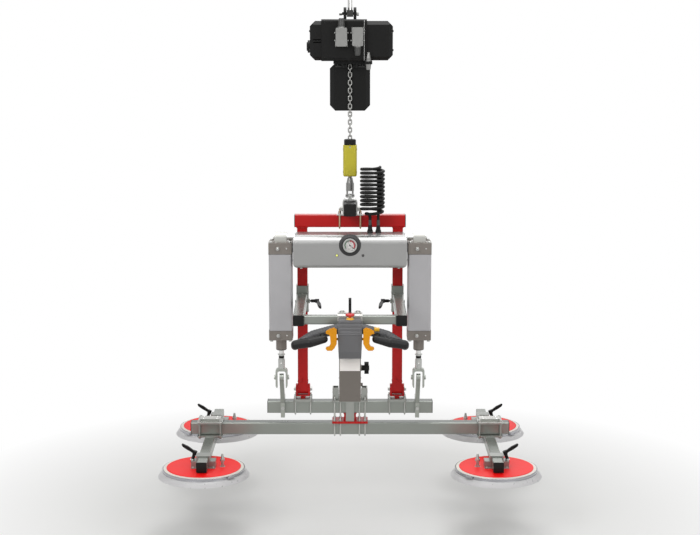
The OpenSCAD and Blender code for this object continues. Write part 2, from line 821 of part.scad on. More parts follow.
cable_route = concat(
    [[stem_x, stem_y, gland_top], [stem_x, stem_y, gland_top + cable_d],
     [stem_x, stem_y, bend_z - 8]],
    [for (p = [0:14:bend_end])
        on_coil(loop_r, stem_angle + bend_r*(1 - cos(p))/loop_r*degrees_of, bend_z + bend_r*sin(p))],
    [for (a = [loop_a0 + step:step:grow_a0])
        on_coil(loop_r, a, loop_z0 + (grow_z0 - loop_z0)*(a - loop_a0)/(grow_a0 - loop_a0))],
    [for (a = [grow_a0 + step:step:coil_a0])
        on_coil(loop_r + (coil_r - loop_r)*ease(min(1, (a - grow_a0)/(grow_a1 - grow_a0))), a,
            grow_z0 + rise*(a - grow_a0))],
    [for (a = [coil_a0 + step:step:shrink_a0]) on_coil(coil_r, a, coil_z(a))],
    [for (a = [shrink_a0 + step:step:down_a0 - 1])
        on_coil(coil_r + (inner_r - coil_r)*ease((a - shrink_a0)/(down_a0 - shrink_a0)), a, coil_z(a))],
    [for (p = [0:15:90])
        on_coil(inner_r, down_a0 + bend_r*sin(p)/inner_r*degrees_of,
            top_of_coil - bend_r*(1 - cos(p)))],
    [[inner_x, inner_y, top_of_coil - bend_r - 12], [inner_x, inner_y, (top_of_coil + gland_top)/2],
     [inner_x, inner_y, gland_top + cable_d], [inner_x, inner_y, gland_top]]);

function unit(v) = v/norm(v);
function flat_side(t, side) = unit(side - t*(side*t));
function tangent_at(path, k) = k == 0 ? unit(path[1] - path[0])
    : k == len(path) - 1 ? unit(path[k] - path[k - 1]) : unit(path[k + 1] - path[k - 1]);

// Tube swept along a route; the side vector is carried from ring to ring
module swept_tube(path, r, sides) {
    last = len(path) - 1;
    tangents = [for (k = [0:last]) tangent_at(path, k)];
    carried = [for (k = 0, s = flat_side(tangents[0], [1, 0, 0]); k <= last;
        k = k + 1, s = k <= last ? flat_side(tangents[k], s) : s) s];
    points = [for (k = [0:last], j = [0:sides - 1])
        path[k] + r*(carried[k]*cos(360*j/sides) + cross(tangents[k], carried[k])*sin(360*j/sides))];
    walls = [for (k = [0:last - 1], j = [0:sides - 1])
        let (a = k*sides + j, b = k*sides + (j + 1) % sides, c = b + sides, d = a + sides)
        each [[a, c, b], [a, d, c]]];
    start = [for (j = [1:sides - 2]) [0, j, j + 1]];
    finish = [for (j = [1:sides - 2]) [last*sides, last*sides + j + 1, last*sides + j]];
    polyhedron(concat(points), concat(walls, start, finish), convexity = 12);
}

// Least gap of the cable to itself, on route points more than a bend apart
function least_gap(path, apart) = min([for (i = [0:len(path) - 1 - apart], j = [i + apart:len(path) - 1])
    norm(path[i] - path[j])]) - cable_d;

module spiral_cable() {
    echo(cable_turns = (down_a0 - loop_a0)/360, least_gap = least_gap(cable_route, 8));
    color(black) swept_tube(cable_route, cable_r, 6);
}

module cylinder_shaft() {
    end = cylinder_x + clevis_w/2;
    color(steel) translate([0, -cylinder_y, shaft_z]) {
        bar_x(-end - 2, end + 2, shaft_d/2);
        for (side = [0, 1]) mirror([side, 0, 0]) {
            bar_x(end + slide_gap, end + 6, shaft_d/2 + 4);
            bar_x(housing_half + slide_gap, housing_half + 7, shaft_d/2 + 3);
        }
    }
}

module tilt_cylinder(side) {
    half = barrel_w/2;
    translate([side*cylinder_x, -cylinder_y, 0]) difference() {
        union() {
            color("#AAA9AB") translate([0, 0, block_low_z1])
                linear_extrude(block_high_z0 - block_low_z1) rounded(barrel_w - 2, barrel_w - 2, 8);
            color("#7C7670") {
                translate([0, 0, block_low_z0])
                    linear_extrude(block_low_z1 - block_low_z0) rounded(barrel_w, barrel_w, 4);
                translate([0, 0, block_high_z0])
                    linear_extrude(block_high_z1 - block_high_z0) rounded(barrel_w, barrel_w, 4);
                // Gland below and clevis above
                translate([0, 0, block_low_z0 - gland_len]) cylinder(h = gland_len, r = 26);
                translate([0, 0, (block_high_z1 + shaft_z)/2])
                    cube([clevis_w, 50, shaft_z - block_high_z1 + 0.1], center = true);
                translate([0, 0, shaft_z]) bar_x(-clevis_w/2, clevis_w/2, 25);
            }
            // Port fittings on the front of both blocks
            color(steel) for (z = [(block_low_z0 + block_low_z1)/2, (block_high_z0 + block_high_z1)/2])
                translate([-12, 0, z]) {
                    bar_y(-half - 10, -half + 1, 8);
                    bar_y(-half - 20, -half - 10, 5);
                }
        }
        translate([0, 0, block_low_z1]) cylinder(h = block_high_z0 - block_low_z1, r = cylinder_bore/2);
        translate([0, 0, block_low_z0 - gland_len - 1])
            cylinder(h = gland_len + 60, r = rod_d/2 + pin_gap);
        translate([0, 0, shaft_z]) bar_x(-clevis_w, clevis_w, shaft_d/2 + pin_gap);
        // Grooves along the barrel's sides
        for (edge = [-1, 1], y = [-20, 20])
            span([edge*half - 3, y - 3, block_low_z1 + 2], [edge*half + 3, y + 3, block_high_z0 - 2]);
    }
}

module piston_rod(side) {
    gap = shackle_gap/2;
    half = shackle_w/2;
    translate([side*cylinder_x, -cylinder_y, 0]) {
        color(steel) {
            translate([0, 0, shackle_z1 - 4]) cylinder(h = piston_top - 10 - shackle_z1, r = rod_d/2);
            translate([0, 0, piston_top - piston_t]) cylinder(h = piston_t, r = cylinder_bore/2 - 0.1);
            // Collar, seal band and rod eye
            translate([0, 0, shackle_z1 + 68]) cylinder(h = 5, r = 18);
            translate([0, 0, shackle_z1 + 51]) cylinder(h = 12, r = rod_d/2 + 0.8);
            translate([0, 0, shackle_z1]) cylinder(h = 47, r = 16.5);
        }
        // Shackle with its pin bosses
        color("#7C7670") difference() {
            along_y(36) difference() {
                translate([0, (shackle_z0 + shackle_z1)/2]) rounded(shackle_w, shackle_z1 - shackle_z0, 14);
                translate([0, (shackle_z0 + shackle_z1)/2 - 20])
                    rounded(2*gap, shackle_z1 - shackle_z0 + 14, 10);
            }
            translate([0, 0, eye_z]) bar_x(-40, 40, 8 + pin_gap);
        }
        color(steel) translate([0, 0, eye_z]) for (edge = [0, 1]) mirror([edge, 0, 0]) {
            bar_x(gap + 0.5, half + 3, 8);
            bar_x(half + 0.1, half + 6, 12);
        }
    }
}

// Tilting beams
rod_y = beam_w/2 + 4.6;
clamp_plate = 14;
centre_plate = 8;
red_plate = 10;
centre_rods = [-77, -48, 47, 75];

module lower_crossbeam() {
    color(grey) difference() {
        translate([0, 0, lower_z + beam_w/2]) along_x(2*lower_half) tube_section(beam_w);
        for (side = [-1, 1]) translate([side*cylinder_x, 0, lower_z + beam_w/2])
            bar_y(-beam_w, beam_w, 5.3);
    }
}

module cross_clamps() {
    color(grey) {
        for (side = [-1, 1]) translate([side*upright_x, 0, 0]) {
            difference() {
                translate([0, 0, lower_top]) linear_extrude(clamp_plate) rounded(91, 92, 5);
                for (x = [-38, 38], y = [-rod_y, rod_y])
                    translate([x, y, lower_top - 1]) cylinder(h = 20, r = 4.3);
            }
            for (x = [-38, 38]) translate([x, 0, lower_z - 4.2])
                u_bolt(2*rod_y, beam_w + clamp_plate + 22, beam_w + clamp_plate + 4.2);
        }
        // Centre plate with two lock cheeks, over the crossbeam
        difference() {
            union() {
                translate([0, 0, lower_top]) linear_extrude(centre_plate) rounded(176, 96, 5);
                for (side = [-1, 1]) translate([side*71.5, 0, lower_top + centre_plate])
                    difference() {
                        linear_extrude(60) rounded(31, 50, 4);
                        translate([0, 0, 6]) linear_extrude(60) rounded(23, 42, 3);
                        translate([0, 0, 38]) bar_x(-20, 20, 8);
                    }
            }
            for (x = centre_rods, y = [-rod_y, rod_y])
                translate([x, y, lower_top - 1]) cylinder(h = 20, r = 4.3);
        }
        // Stay plate in front of the crossbeam
        span([-21, -beam_w/2 - 12, beam_top + red_plate], [21, -beam_w/2, lower_top]);
    }
    // Long U-bolts round the main beam, up to the centre plate
    color(steel) for (x = centre_rods) translate([x, 0, beam_z - 4.2]) {
        u_bolt(2*rod_y, lower_top + centre_plate - beam_z + 22, beam_w + red_plate + 4.2);
        for (y = [-rod_y, rod_y])
            translate([0, y, lower_top + centre_plate - beam_z + 4.2]) hex(13, 7);
    }
}

module tilt_brackets() {
    lug_in = frame_w/2 + 0.4;
    lug_out = lug_in + 10;
    seat = tilt_z - frame_w/2 - 2.4;
    color(red) {
        for (side = [-1, 1]) translate([side*upright_x, 0, 0]) {
            span([-9.5, -20, lower_top + clamp_plate], [9.5, 20, seat - 5]);
            span([-lug_out, -26, seat - 6], [lug_out, 26, seat]);
            for (edge = [0, 1]) mirror([edge, 0, 0]) {
                span([lug_in, -26, seat - 6], [lug_out, 26, tilt_z]);
                translate([0, 0, tilt_z]) bar_x(lug_in, lug_out, 26);
            }
        }
        difference() {
            translate([0, 0, beam_top]) linear_extrude(red_plate) rounded(178, 96, 5);
            for (x = centre_rods, y = [-rod_y, rod_y])
                translate([x, y, beam_top - 1]) cylinder(h = 20, r = 4.3);
        }
        translate([0, 0, beam_top + red_plate])
            linear_extrude(lower_z - beam_top - red_plate) rounded(60, 60, 3);
    }
    // Pivot bolts
    color(steel) for (side = [-1, 1]) translate([side*upright_x, 0, tilt_z]) {
        bar_x(-lug_out - 2, lug_out + 2, 6);
        for (edge = [0, 1]) mirror([edge, 0, 0]) translate([lug_out, 0, 0]) rotate([0, 90, 0]) {
            cylinder(h = 2.5, r = 12);
            translate([0, 0, 2.5]) hex(18, 8);
        }
    }
}

module main_beam() {
    color(grey) translate([0, 0, beam_z + beam_w/2]) along_x(2*beam_half) tube_section(beam_w);
}

module beam_caps() {
    color(black) for (side = [0, 1]) mirror([side, 0, 0]) {
        translate([beam_half, 0, beam_z + beam_w/2]) rotate([0, 90, 0]) tube_cap(beam_w);
        translate([lower_half, 0, lower_z + beam_w/2]) rotate([0, 90, 0]) tube_cap(beam_w);
    }
}

module tilt_levers() {
    face = beam_w/2;
    root = [-face - 10, lower_top + 13];
    eye = [-cylinder_y, eye_z];
    along = (root - eye)/norm(root - eye);
    across = [-along[1], along[0]];
    color("#A9ACA8") for (side = [-1, 1]) translate([side*cylinder_x, 0, 0]) {
        difference() {
            along_x(lever_t) {
                translate([-face - 22, lower_z - 17]) square([22, beam_w + 17 + 26]);
                translate([-face - 22, lower_top]) square([face*2 + 16, 26]);
                polygon([eye + 14*across, root + 22*across, root - 22*across, eye - 14*across]);
                translate(eye) circle(18);
            }
            translate([0, -cylinder_y, eye_z]) bar_x(-lever_t, lever_t, 8 + pin_gap);
        }
        translate([0, 0, lower_z + face]) {
            bar_y(-face - 22, face + 14, 5);
            translate([0, face + 3, 0]) rotate([-90, 0, 0]) hex(16, 8);
            bar_y(face, face + 3, 14);
            translate([0, -face - 22, 0]) rotate([90, 0, 0]) hex(16, 7);
        }
    }
}

// Handle carrier
module handle_frame() {
    arm_len = -carrier_front - sleeve_w/2;
    color(grey) {
        for (side = [0, 1]) mirror([side, 0, 0]) {
            difference() {
                union() {
                    translate([upright_x, 0, sleeve_z0]) linear_extrude(sleeve_z1 - sleeve_z0)
                        difference() {
                            rounded(sleeve_w, sleeve_w, 7);
                            rounded(frame_w + 2*slide_gap, frame_w + 2*slide_gap, tube_r);
                        }
                    translate([upright_x - sleeve_w/2, 0, sleeve_lever_z]) bar_x(-6, 1, 12);
                }
                translate([upright_x - sleeve_w/2 - 6, 0, sleeve_lever_z])
                    rotate([0, -90, 0]) stud_bore(12);
            }
            translate([carrier_x, -sleeve_w/2 - arm_len/2, carrier_z])
                along_y(arm_len) tube_section(carrier_w);
        }
        translate([0, cross_y, carrier_z])
            along_x(2*(carrier_x - carrier_w/2)) tube_section(cross_w);
    }
    // Bolts outside the sleeves
    color(steel) for (side = [0, 1]) mirror([side, 0, 0])
        translate([upright_x + sleeve_w/2, 0, sleeve_lever_z]) rotate([0, 90, 0]) hex(17, 7);
}

module handle_caps() {
    color(black) for (side = [-1, 1])
        translate([side*carrier_x, carrier_front, carrier_z]) rotate([90, 0, 0]) tube_cap(carrier_w);
}

module head_post() {
    clamp_w = cross_w + 2*(slide_gap + head_clamp_wall);
    post_top = carrier_z - clamp_w/2;
    color("#9C9A96") {
        difference() {
            union() {
                translate([0, cross_y, carrier_z]) along_x(2*head_clamp_half) rounded(clamp_w, clamp_w, 8);
                // Raised ears with their bolts on top
                for (side = [-1, 1]) translate([side*36, cross_y, carrier_z + clamp_w/2 - 1])
                    linear_extrude(8) rounded(30, 40, 4);
            }
            translate([0, cross_y, carrier_z]) along_x(200) square(cross_w + 2*slide_gap, center = true);
            translate([0, cross_y + clamp_w/2, carrier_z + 13]) rotate([-90, 0, 0]) stud_bore(9);
        }
        for (side = [-1, 1]) translate([side*36, cross_y, carrier_z + clamp_w/2 + 7]) hex(16, 6);
    }
    color("#6E6862") difference() {
        union() {
            translate([0, cross_y, post_z0]) linear_extrude(post_top - post_z0) difference() {
                rounded(post_w, post_d, 6);
                rounded(post_w - 8, post_d - 8, 3);
            }
            translate([0, cross_y, post_z0]) linear_extrude(3) rounded(post_w, post_d, 6);
            translate([0, cross_y, star_z]) bar_x(post_w/2 - 4, post_w/2 + 4, 15);
            translate([0, cross_y, 489]) bar_x(post_w/2 - 2, post_w/2 + 9, 8);
        }
        translate([0, cross_y, star_z]) bar_x(post_w/2 - 5, post_w/2 + 5, stud_r + pin_gap);
    }
}

// Rounded limb between two points
module limb(a, b, ra, rb) {
    hull() {
        translate(a) sphere(r = ra, $fn = 20);
        translate(b) sphere(r = rb, $fn = 20);
    }
}

guard_a = [48, -624, 764];
guard_b = [170, -608, 729];
guard_c = [250, -640, 686];
grip_a = [118, -662, 722];
grip_b = [182, -692, 713];
grip_c = [247, -674, 699];
paddle_axis = [-650, 720];
rocker_at = [122, -630, 760];
estop_y = -624;
head_top = 806;

module tiller_body() {
    head_z0 = 630;
    brow_z = 744;
    color("#5A5A5C") difference() {
        union() {
            intersection() {
                along_y(1600) polygon([[-51, head_z0], [51, head_z0], [56, brow_z], [50, head_top],
                    [-50, head_top], [-56, brow_z]]);
                along_x(140) polygon([[tiller_back, head_z0], [tiller_front + 12, head_z0],
                    [tiller_front, head_z0 + 32], [tiller_front, brow_z], [tiller_front + 26, head_top],
                    [tiller_back, head_top]]);
            }
            for (side = [0, 1]) mirror([side, 0, 0]) {
                limb(guard_a, guard_b, 24, 22);
                limb(guard_b, guard_c, 22, 19);
            }
        }
        // Ridges across the sloping brow
        for (k = [1:3]) translate([0, tiller_front + 6.5*k, brow_z + 15.5*k]) bar_x(-60, 60, 1.6);
        translate([0, paddle_axis[0], paddle_axis[1]]) bar_x(-80, 80, 6 + pin_gap);
        translate([0, estop_y, head_top - 22]) cylinder(h = 40, r = 6 + pin_gap);
        translate(rocker_at) bar_x(-12.4, 12.4, 9.3);
        // Room behind, for the post
        span([-80, tiller_back, 560], [80, tiller_back + 80, 830]);
    }
    color("#E8B81E") translate([0, estop_y, head_top]) difference() {
        cylinder(h = 9, r1 = 19, r2 = 13);
        translate([0, 0, -1]) cylinder(h = 20, r = 6 + pin_gap);
    }
}

module tiller_grips() {
    color("#222222") for (side = [0, 1]) mirror([side, 0, 0]) {
        limb(grip_a, grip_b, 18, 23);
        limb(grip_b, grip_c, 23, 21);
        limb(grip_a + [2, 6, 4], [128, -616, 736], 14, 13);
    }
}

module butterfly() {
    color("#E8A41E") {
        for (side = [0, 1]) mirror([side, 0, 0]) {
            translate([0, paddle_axis[0] - 34, 0]) along_y(12)
                polygon([[60, 772], [72, 780], [92, 774], [108, 764], [110, 754], [94, 748],
                    [90, 738], [88, 704], [94, 694], [108, 690], [110, 682], [102, 674],
                    [82, 674], [70, 686], [60, 706]]);
            translate([0, paddle_axis[0], paddle_axis[1]]) bar_x(60, 72, 14);
            span([60, paddle_axis[0] - 36, paddle_axis[1] - 10],
                 [72, paddle_axis[0], paddle_axis[1] + 10]);
        }
        translate([0, paddle_axis[0], paddle_axis[1]]) bar_x(-74, 74, 6);
    }
}

module estop_button() {
    color("#D22020") translate([0, estop_y, head_top]) {
        translate([0, 0, -14]) cylinder(h = 30, r = 6);
        translate([0, 0, 15]) rotate_extrude() {
            polygon([[0, 0], [16, 0], [21, 4], [21, 8], [16, 13], [0, 14]]);
            translate([16, 8]) circle(5);
        }
    }
}

module rocker_button() {
    color("#F0B81E") translate(rocker_at) {
        bar_x(-12, 12, 9);
        rotate([45, 0, 0]) span([-12, -3, 4], [12, 3, 13]);
    }
}

module star_knob() {
    seat = post_w/2 + 4 + slide_gap;
    color(black) translate([0, cross_y, star_z]) {
        bar_x(post_w/2 - 4, seat + 12, stud_r);
        bar_x(seat, seat + 12, 13);
        translate([seat + 22, 0, 0]) along_x(20) difference() {
            union() {
                circle(22);
                for (a = [0:60:300]) rotate(a) translate([21, 0]) circle(8);
            }
            for (a = [30:60:330]) rotate(a) translate([29, 0]) circle(7);
        }
        bar_x(seat + 32, seat + 35, 12);
    }
}

// Arms on the main beam
clamp_x = 62.5;
clamp_y = 65;
block_top = 182;

module pad_arm(side) {
    translate([side*pad_x, 0, 0]) {
        color(grey) {
            translate([0, 0, arm_z]) along_y(2*arm_half) tube_section(arm_w);
            difference() {
                translate([0, 0, arm_top]) linear_extrude(clamp_under - slide_gap)
                    rounded(2*clamp_x, 2*clamp_y, 8);
                for (x = [-52, 52], y = [-44, 44])
                    translate([x, y, 80]) cylinder(h = 40, r = 5.3);
            }
            difference() {
                union() {
                    translate([0, 0, beam_top + slide_gap]) linear_extrude(8) rounded(2*clamp_x, 2*clamp_y, 8);
                    translate([0, 0, beam_top + slide_gap + 8])
                        linear_extrude(block_top - beam_top - slide_gap - 8) rounded(106, 62, 8);
                }
                for (x = [-52, 52], y = [-44, 44])
                    translate([x, y, beam_top - 1]) cylinder(h = 40, r = 5.3);
            }
        }
        color(steel) for (x = [-52, 52], y = [-44, 44]) translate([x, y, 0]) {
            translate([0, 0, arm_top - 12]) cylinder(h = beam_top + 20 - arm_top + 12, r = 5);
            translate([0, 0, arm_top - 8]) hex(16, 8);
            translate([0, 0, beam_top + slide_gap + 8]) hex(16, 8);
        }
        color(black) for (end = [0, 1]) mirror([0, end, 0])
            translate([0, -arm_half, arm_z]) rotate([90, 0, 0]) tube_cap(arm_w);
    }
}

module pad(sx, sy) {
    arm_gap = arm_w/2 + slide_gap;
    strap_top = arm_top + 6;
    translate([sx*pad_x, sy*pad_y, 0]) {
        color("#C9C6BC") {
            rotate_extrude($fn = 96) polygon([[0, pad_top - 8], [band_r - 14, pad_top - 8],
                [band_r - 14, 26], [band_r - 4, 26], [band_r - 4, pad_top - 3],
                [band_r - 5, pad_top - 2], [0, pad_top - 2]]);
            rotate_extrude($fn = 96) polygon([[band_r - 3.7, 24], [band_r, 24],
                [band_r, pad_top - 4], [band_r - 3.7, pad_top - 4]]);
            // Screw of the band
            rotate([0, 0, sx*sy > 0 ? -45 : -135]) translate([band_r, 0, 31]) {
                span([0, -14, -6], [9, 14, 6]);
                translate([5, 0, 0]) bar_y(-20, 20, 4);
            }
        }
        color("#FF3434") translate([0, 0, pad_top - 2]) cylinder(h = 2, r = disc_r, $fn = 96);
        // Saddle round the arm
        color(grey) difference() {
            union() {
                translate([0, 0, pad_top]) linear_extrude(arm_top - arm_w - slide_gap - pad_top)
                    rounded(2*saddle_half, 80, 4);
                for (side = [0, 1]) mirror([side, 0, 0]) {
                    span([arm_gap, -30, pad_top], [saddle_half, 30, saddle_top]);
                    span([arm_gap, -30, pad_top], [arm_gap + 7, 30, strap_top]);
                }
                span([-arm_gap - 7, -30, arm_top + slide_gap], [arm_gap + 7, 30, strap_top]);
            }
            translate([sx*54, 0, saddle_top]) rotate([0, -sx*pad_lever_tilt, 0]) stud_bore(17);
        }
        // Hose fitting inboard of the saddle
        color(steel) translate([-sx*90, 0, pad_top]) {
            hex(16, 8);
            translate([0, 0, 8]) cylinder(h = 20, r = 6);
            translate([0, 0, 28]) hex(20, 10);
            translate([0, 0, 38]) cylinder(h = 24, r1 = 8, r2 = 5);
        }
    }
}

module lip(sx, sy) {
    color("#D8D8D4") translate([sx*pad_x, sy*pad_y, 0]) rotate_extrude($fn = 96)
        polygon([[band_r - 16, 26], [band_r - 16, 21.5], [band_r + 4, 14], [lip_r - 9, 0],
            [lip_r, 0], [lip_r - 12, 16], [band_r + 1, 23.7], [band_r - 4.3, 23.7],
            [band_r - 4.3, 26]]);
}

module lever_pad(sx, sy) {
    translate([sx*(pad_x + 54), sy*pad_y, saddle_top]) rotate([0, -sx*pad_lever_tilt, 0])
        rotate([0, 0, sx > 0 ? 0 : 180]) clamp_lever(15);
}

module lever_sleeve(side) {
    mirror([side > 0 ? 1 : 0, 0, 0])
        translate([-upright_x + sleeve_w/2 + 6, 0, sleeve_lever_z])
            rotate([0, 90, 0]) rotate([0, 0, -73]) clamp_lever(10);
}

module lever_head() {
    translate([0, cross_y + cross_w/2 + slide_gap + head_clamp_wall, carrier_z + 13])
        rotate([-90, 0, 0]) rotate([0, 0, -90]) clamp_lever(7);
}

hang() suspension_rod();
hang() suspension_bracket();
hang() hoist_housing();
hang() end_covers();
hang() plug_connectors();
hang() chain_guide();
hang() chain_container();
hang() load_sheave();
hang() load_chain();
hang() buffer_cap();
hang() hook_block();
hang() swivel_shank();
hang() swivel_fork();
hang() carriage();
hang() balance_tube();
hang() frame_caps();
hang() red_frame();
hang() pump_housing();
hang() vacuum_gauge();
hang() gauge_needle();
hang() spiral_cable();
hang() cylinder_shaft();
hang() tilt_cylinder(LEFT);  // cylinder_left
hang() tilt_cylinder(RIGHT);  // cylinder_right
hang() piston_rod(LEFT);  // piston_rod_left
hang() piston_rod(RIGHT);  // piston_rod_right
hang() lower_crossbeam();
hang() cross_clamps();
hang() tilt_brackets();
hang() main_beam();
hang() beam_caps();
hang() tilt_levers();
hang() handle_frame();
hang() handle_caps();
hang() head_post();
hang() tiller_body();
hang() tiller_grips();
hang() butterfly();
hang() estop_button();
hang() rocker_button();
hang() star_knob();
hang() pad_arm(LEFT);  // pad_arm_left
hang() pad_arm(RIGHT);  // pad_arm_right
hang() pad(LEFT, FRONT);  // pad_fl
hang() pad(RIGHT, FRONT);  // pad_fr
hang() pad(LEFT, REAR);  // pad_rl
hang() pad(RIGHT, REAR);  // pad_rr
hang() lip(LEFT, FRONT);  // lip_fl
hang() lip(RIGHT, FRONT);  // lip_fr
hang() lip(LEFT, REAR);  // lip_rl
hang() lip(RIGHT, REAR);  // lip_rr
hang() lever_pad(LEFT, FRONT);  // lever_pad_fl
hang() lever_pad(RIGHT, FRONT);  // lever_pad_fr
hang() lever_pad(LEFT, REAR);  // lever_pad_rl
hang() lever_pad(RIGHT, REAR);  // lever_pad_rr
hang() lever_sleeve(LEFT);  // lever_sleeve_left
hang() lever_sleeve(RIGHT);  // lever_sleeve_right
hang() lever_head();
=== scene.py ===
"""Looks of the glass panel lifter: finishes, fine detail, light and camera.

Metres in the model's frame: X right, Y away from the operator, Z up. Places are written in
millimetres as in the part's source, with heights above the suction pads' sealing plane.
"""
from itertools import product
from math import ceil, cos, degrees, pi, radians, sin

import bmesh
import bpy
import numpy as np
from mathutils import Matrix, Vector


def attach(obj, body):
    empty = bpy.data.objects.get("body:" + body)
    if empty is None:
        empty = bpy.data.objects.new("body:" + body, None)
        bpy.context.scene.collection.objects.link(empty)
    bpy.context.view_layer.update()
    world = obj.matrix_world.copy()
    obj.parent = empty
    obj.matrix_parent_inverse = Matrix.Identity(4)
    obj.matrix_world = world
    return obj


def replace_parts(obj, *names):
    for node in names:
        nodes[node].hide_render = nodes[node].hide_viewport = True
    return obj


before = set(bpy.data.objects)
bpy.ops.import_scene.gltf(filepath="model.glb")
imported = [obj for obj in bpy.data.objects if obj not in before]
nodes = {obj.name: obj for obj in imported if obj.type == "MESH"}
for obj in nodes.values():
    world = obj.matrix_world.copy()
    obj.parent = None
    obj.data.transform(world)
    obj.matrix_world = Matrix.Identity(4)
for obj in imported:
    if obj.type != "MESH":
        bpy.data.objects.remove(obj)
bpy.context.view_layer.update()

# Sizes shared with the part's source, in millimetres
ROD_TOP = 2255
PAD_X, PAD_Y = 700, 385
BAND_R, DISC_R, PAD_TOP = 196, 177, 42
FITTING_X = 90
BEAM_Z, BEAM_TOP, BEAM_W, BEAM_HALF = 102, 162, 60, 795
LOWER_Z, LOWER_TOP, LOWER_HALF, SADDLE_Y = 212, 272, 410, 34.6
UPRIGHT_X, FRAME_W, TILT_Z = 235, 50, 331
TOP_Z, TOP_W, TOP_HALF, BALANCE_HALF, BALANCE_Z = 1149, 60, 270, 120, 1244
HOUSING_HALF, HOUSING_Y0, HOUSING_Y1, HOUSING_Z0, HOUSING_Z1 = 273, -230, -80, 978, 1134
GAUGE_Z, DIAL_Y = 1090, -238
LAMP_LEFT, LAMP_RIGHT, LAMP_Z = -63, 62, 1040
CYLINDER_X, CYLINDER_Y, BARREL_W, PORT_X = 335, -150, 114, 12
BLOCK_LOW, BLOCK_HIGH, GLAND_END, SHACKLE_Z = (620, 667), (1041, 1096), 566, 425
HOIST_X0, HOIST_X1, HOIST_Y0, HOIST_Y1, HOIST_Z0, HOIST_Z1 = -137, 81, -95, 115, 1958, 2156
HANGER_Z, PLUG_LEFT, PLUG_RIGHT, LIMIT_AT = 2183, -41, 36.5, (88, -112)
CROSS_Y, CARRIER_Z, CARRIER_X, CARRIER_END = -570, 795, 236, -600
SLEEVE_LEVER_Z, STOP_Y, HEAD_TOP, POST_W, POST_D = 777, -624, 806, 100, 60
ARM_END, ARM_Z, CLAMP_TOP, CAP_T = 500, 71, 170.4, 3
PADS = {"fl": (-1, -1), "fr": (1, -1), "rl": (-1, 1), "rr": (1, 1)}
SIDES = {"left": -1, "right": 1}
ENDS = (-1, 1)
FRONT, BACK, DOWN = (0, -1, 0), (0, 1, 0), (0, 0, -1)


def at(x, y, z):
    """A point of the part's source in the frame's metres."""
    return Vector((x, y, z - ROD_TOP)) / 1000


# Camera
CAMERA_AT = (0.0, -7.426, -0.111)
CAMERA_PITCH = 90 - 9.175
CAMERA_LENS = 78.26

camera = bpy.data.objects.new("camera", bpy.data.cameras.new("camera"))
camera.location = CAMERA_AT
camera.rotation_euler = (radians(CAMERA_PITCH), 0, 0)
camera.data.lens = CAMERA_LENS
camera.data.sensor_width = 36
bpy.context.scene.collection.objects.link(camera)
bpy.context.scene.camera = camera


# Finishes
CLOUD_SCALE, PATCH_SCALE, SCUFF_SCALE = 7, 38, 95  # noise per metre


def linear(code, gain=1.0):
    """Linear colour of a hex code, made lighter or darker by gain."""
    channels = [int(code[k:k + 2], 16) / 255 for k in (1, 3, 5)]
    return [min(1, gain * (c / 12.92 if c <= 0.04045 else ((c + 0.055) / 1.055) ** 2.4))
            for c in channels] + [1]


class Nodes:
    """Short calls for building one material's nodes."""

    def __init__(self, tree, fresh=True):
        self.tree = tree
        if fresh:
            tree.nodes.clear()

    def add(self, kind, inputs=None, **settings):
        node = self.tree.nodes.new("ShaderNode" + kind)
        for key, value in settings.items():
            setattr(node, key, value)
        for key, value in (inputs or {}).items():
            if isinstance(value, bpy.types.NodeSocket):
                self.tree.links.new(value, node.inputs[key])
            else:
                node.inputs[key].default_value = value
        return node

    def place(self):
        """Coordinates in the object's own metres."""
        return self.add("TexCoord").outputs["Object"]

    def noise(self, vector, scale, detail=3):
        return self.add("TexNoise", {
            "Vector": vector, "Scale": scale, "Detail": detail}).outputs["Fac"]

    def spread(self, value, low, high, to_low, to_high):
        return self.add("MapRange", {
            "Value": value, "From Min": low, "From Max": high, "To Min": to_low,
            "To Max": to_high}).outputs["Result"]

    def mix(self, share, a, b):
        return self.add("Mix", {0: share, 6: a, 7: b}, data_type="RGBA").outputs[2]

    def maths(self, operation, a, b):
        return self.add("Math", {0: a, 1: b}, operation=operation).outputs[0]

    def surface(self, inputs):
        """The shader that all the rest leads to."""
        shader = self.add("BsdfPrincipled", inputs)
        self.add("OutputMaterial", {"Surface": shader.outputs[0]})


def shader_of(mat):
    return next(node for node in mat.node_tree.nodes if node.type == "BSDF_PRINCIPLED")


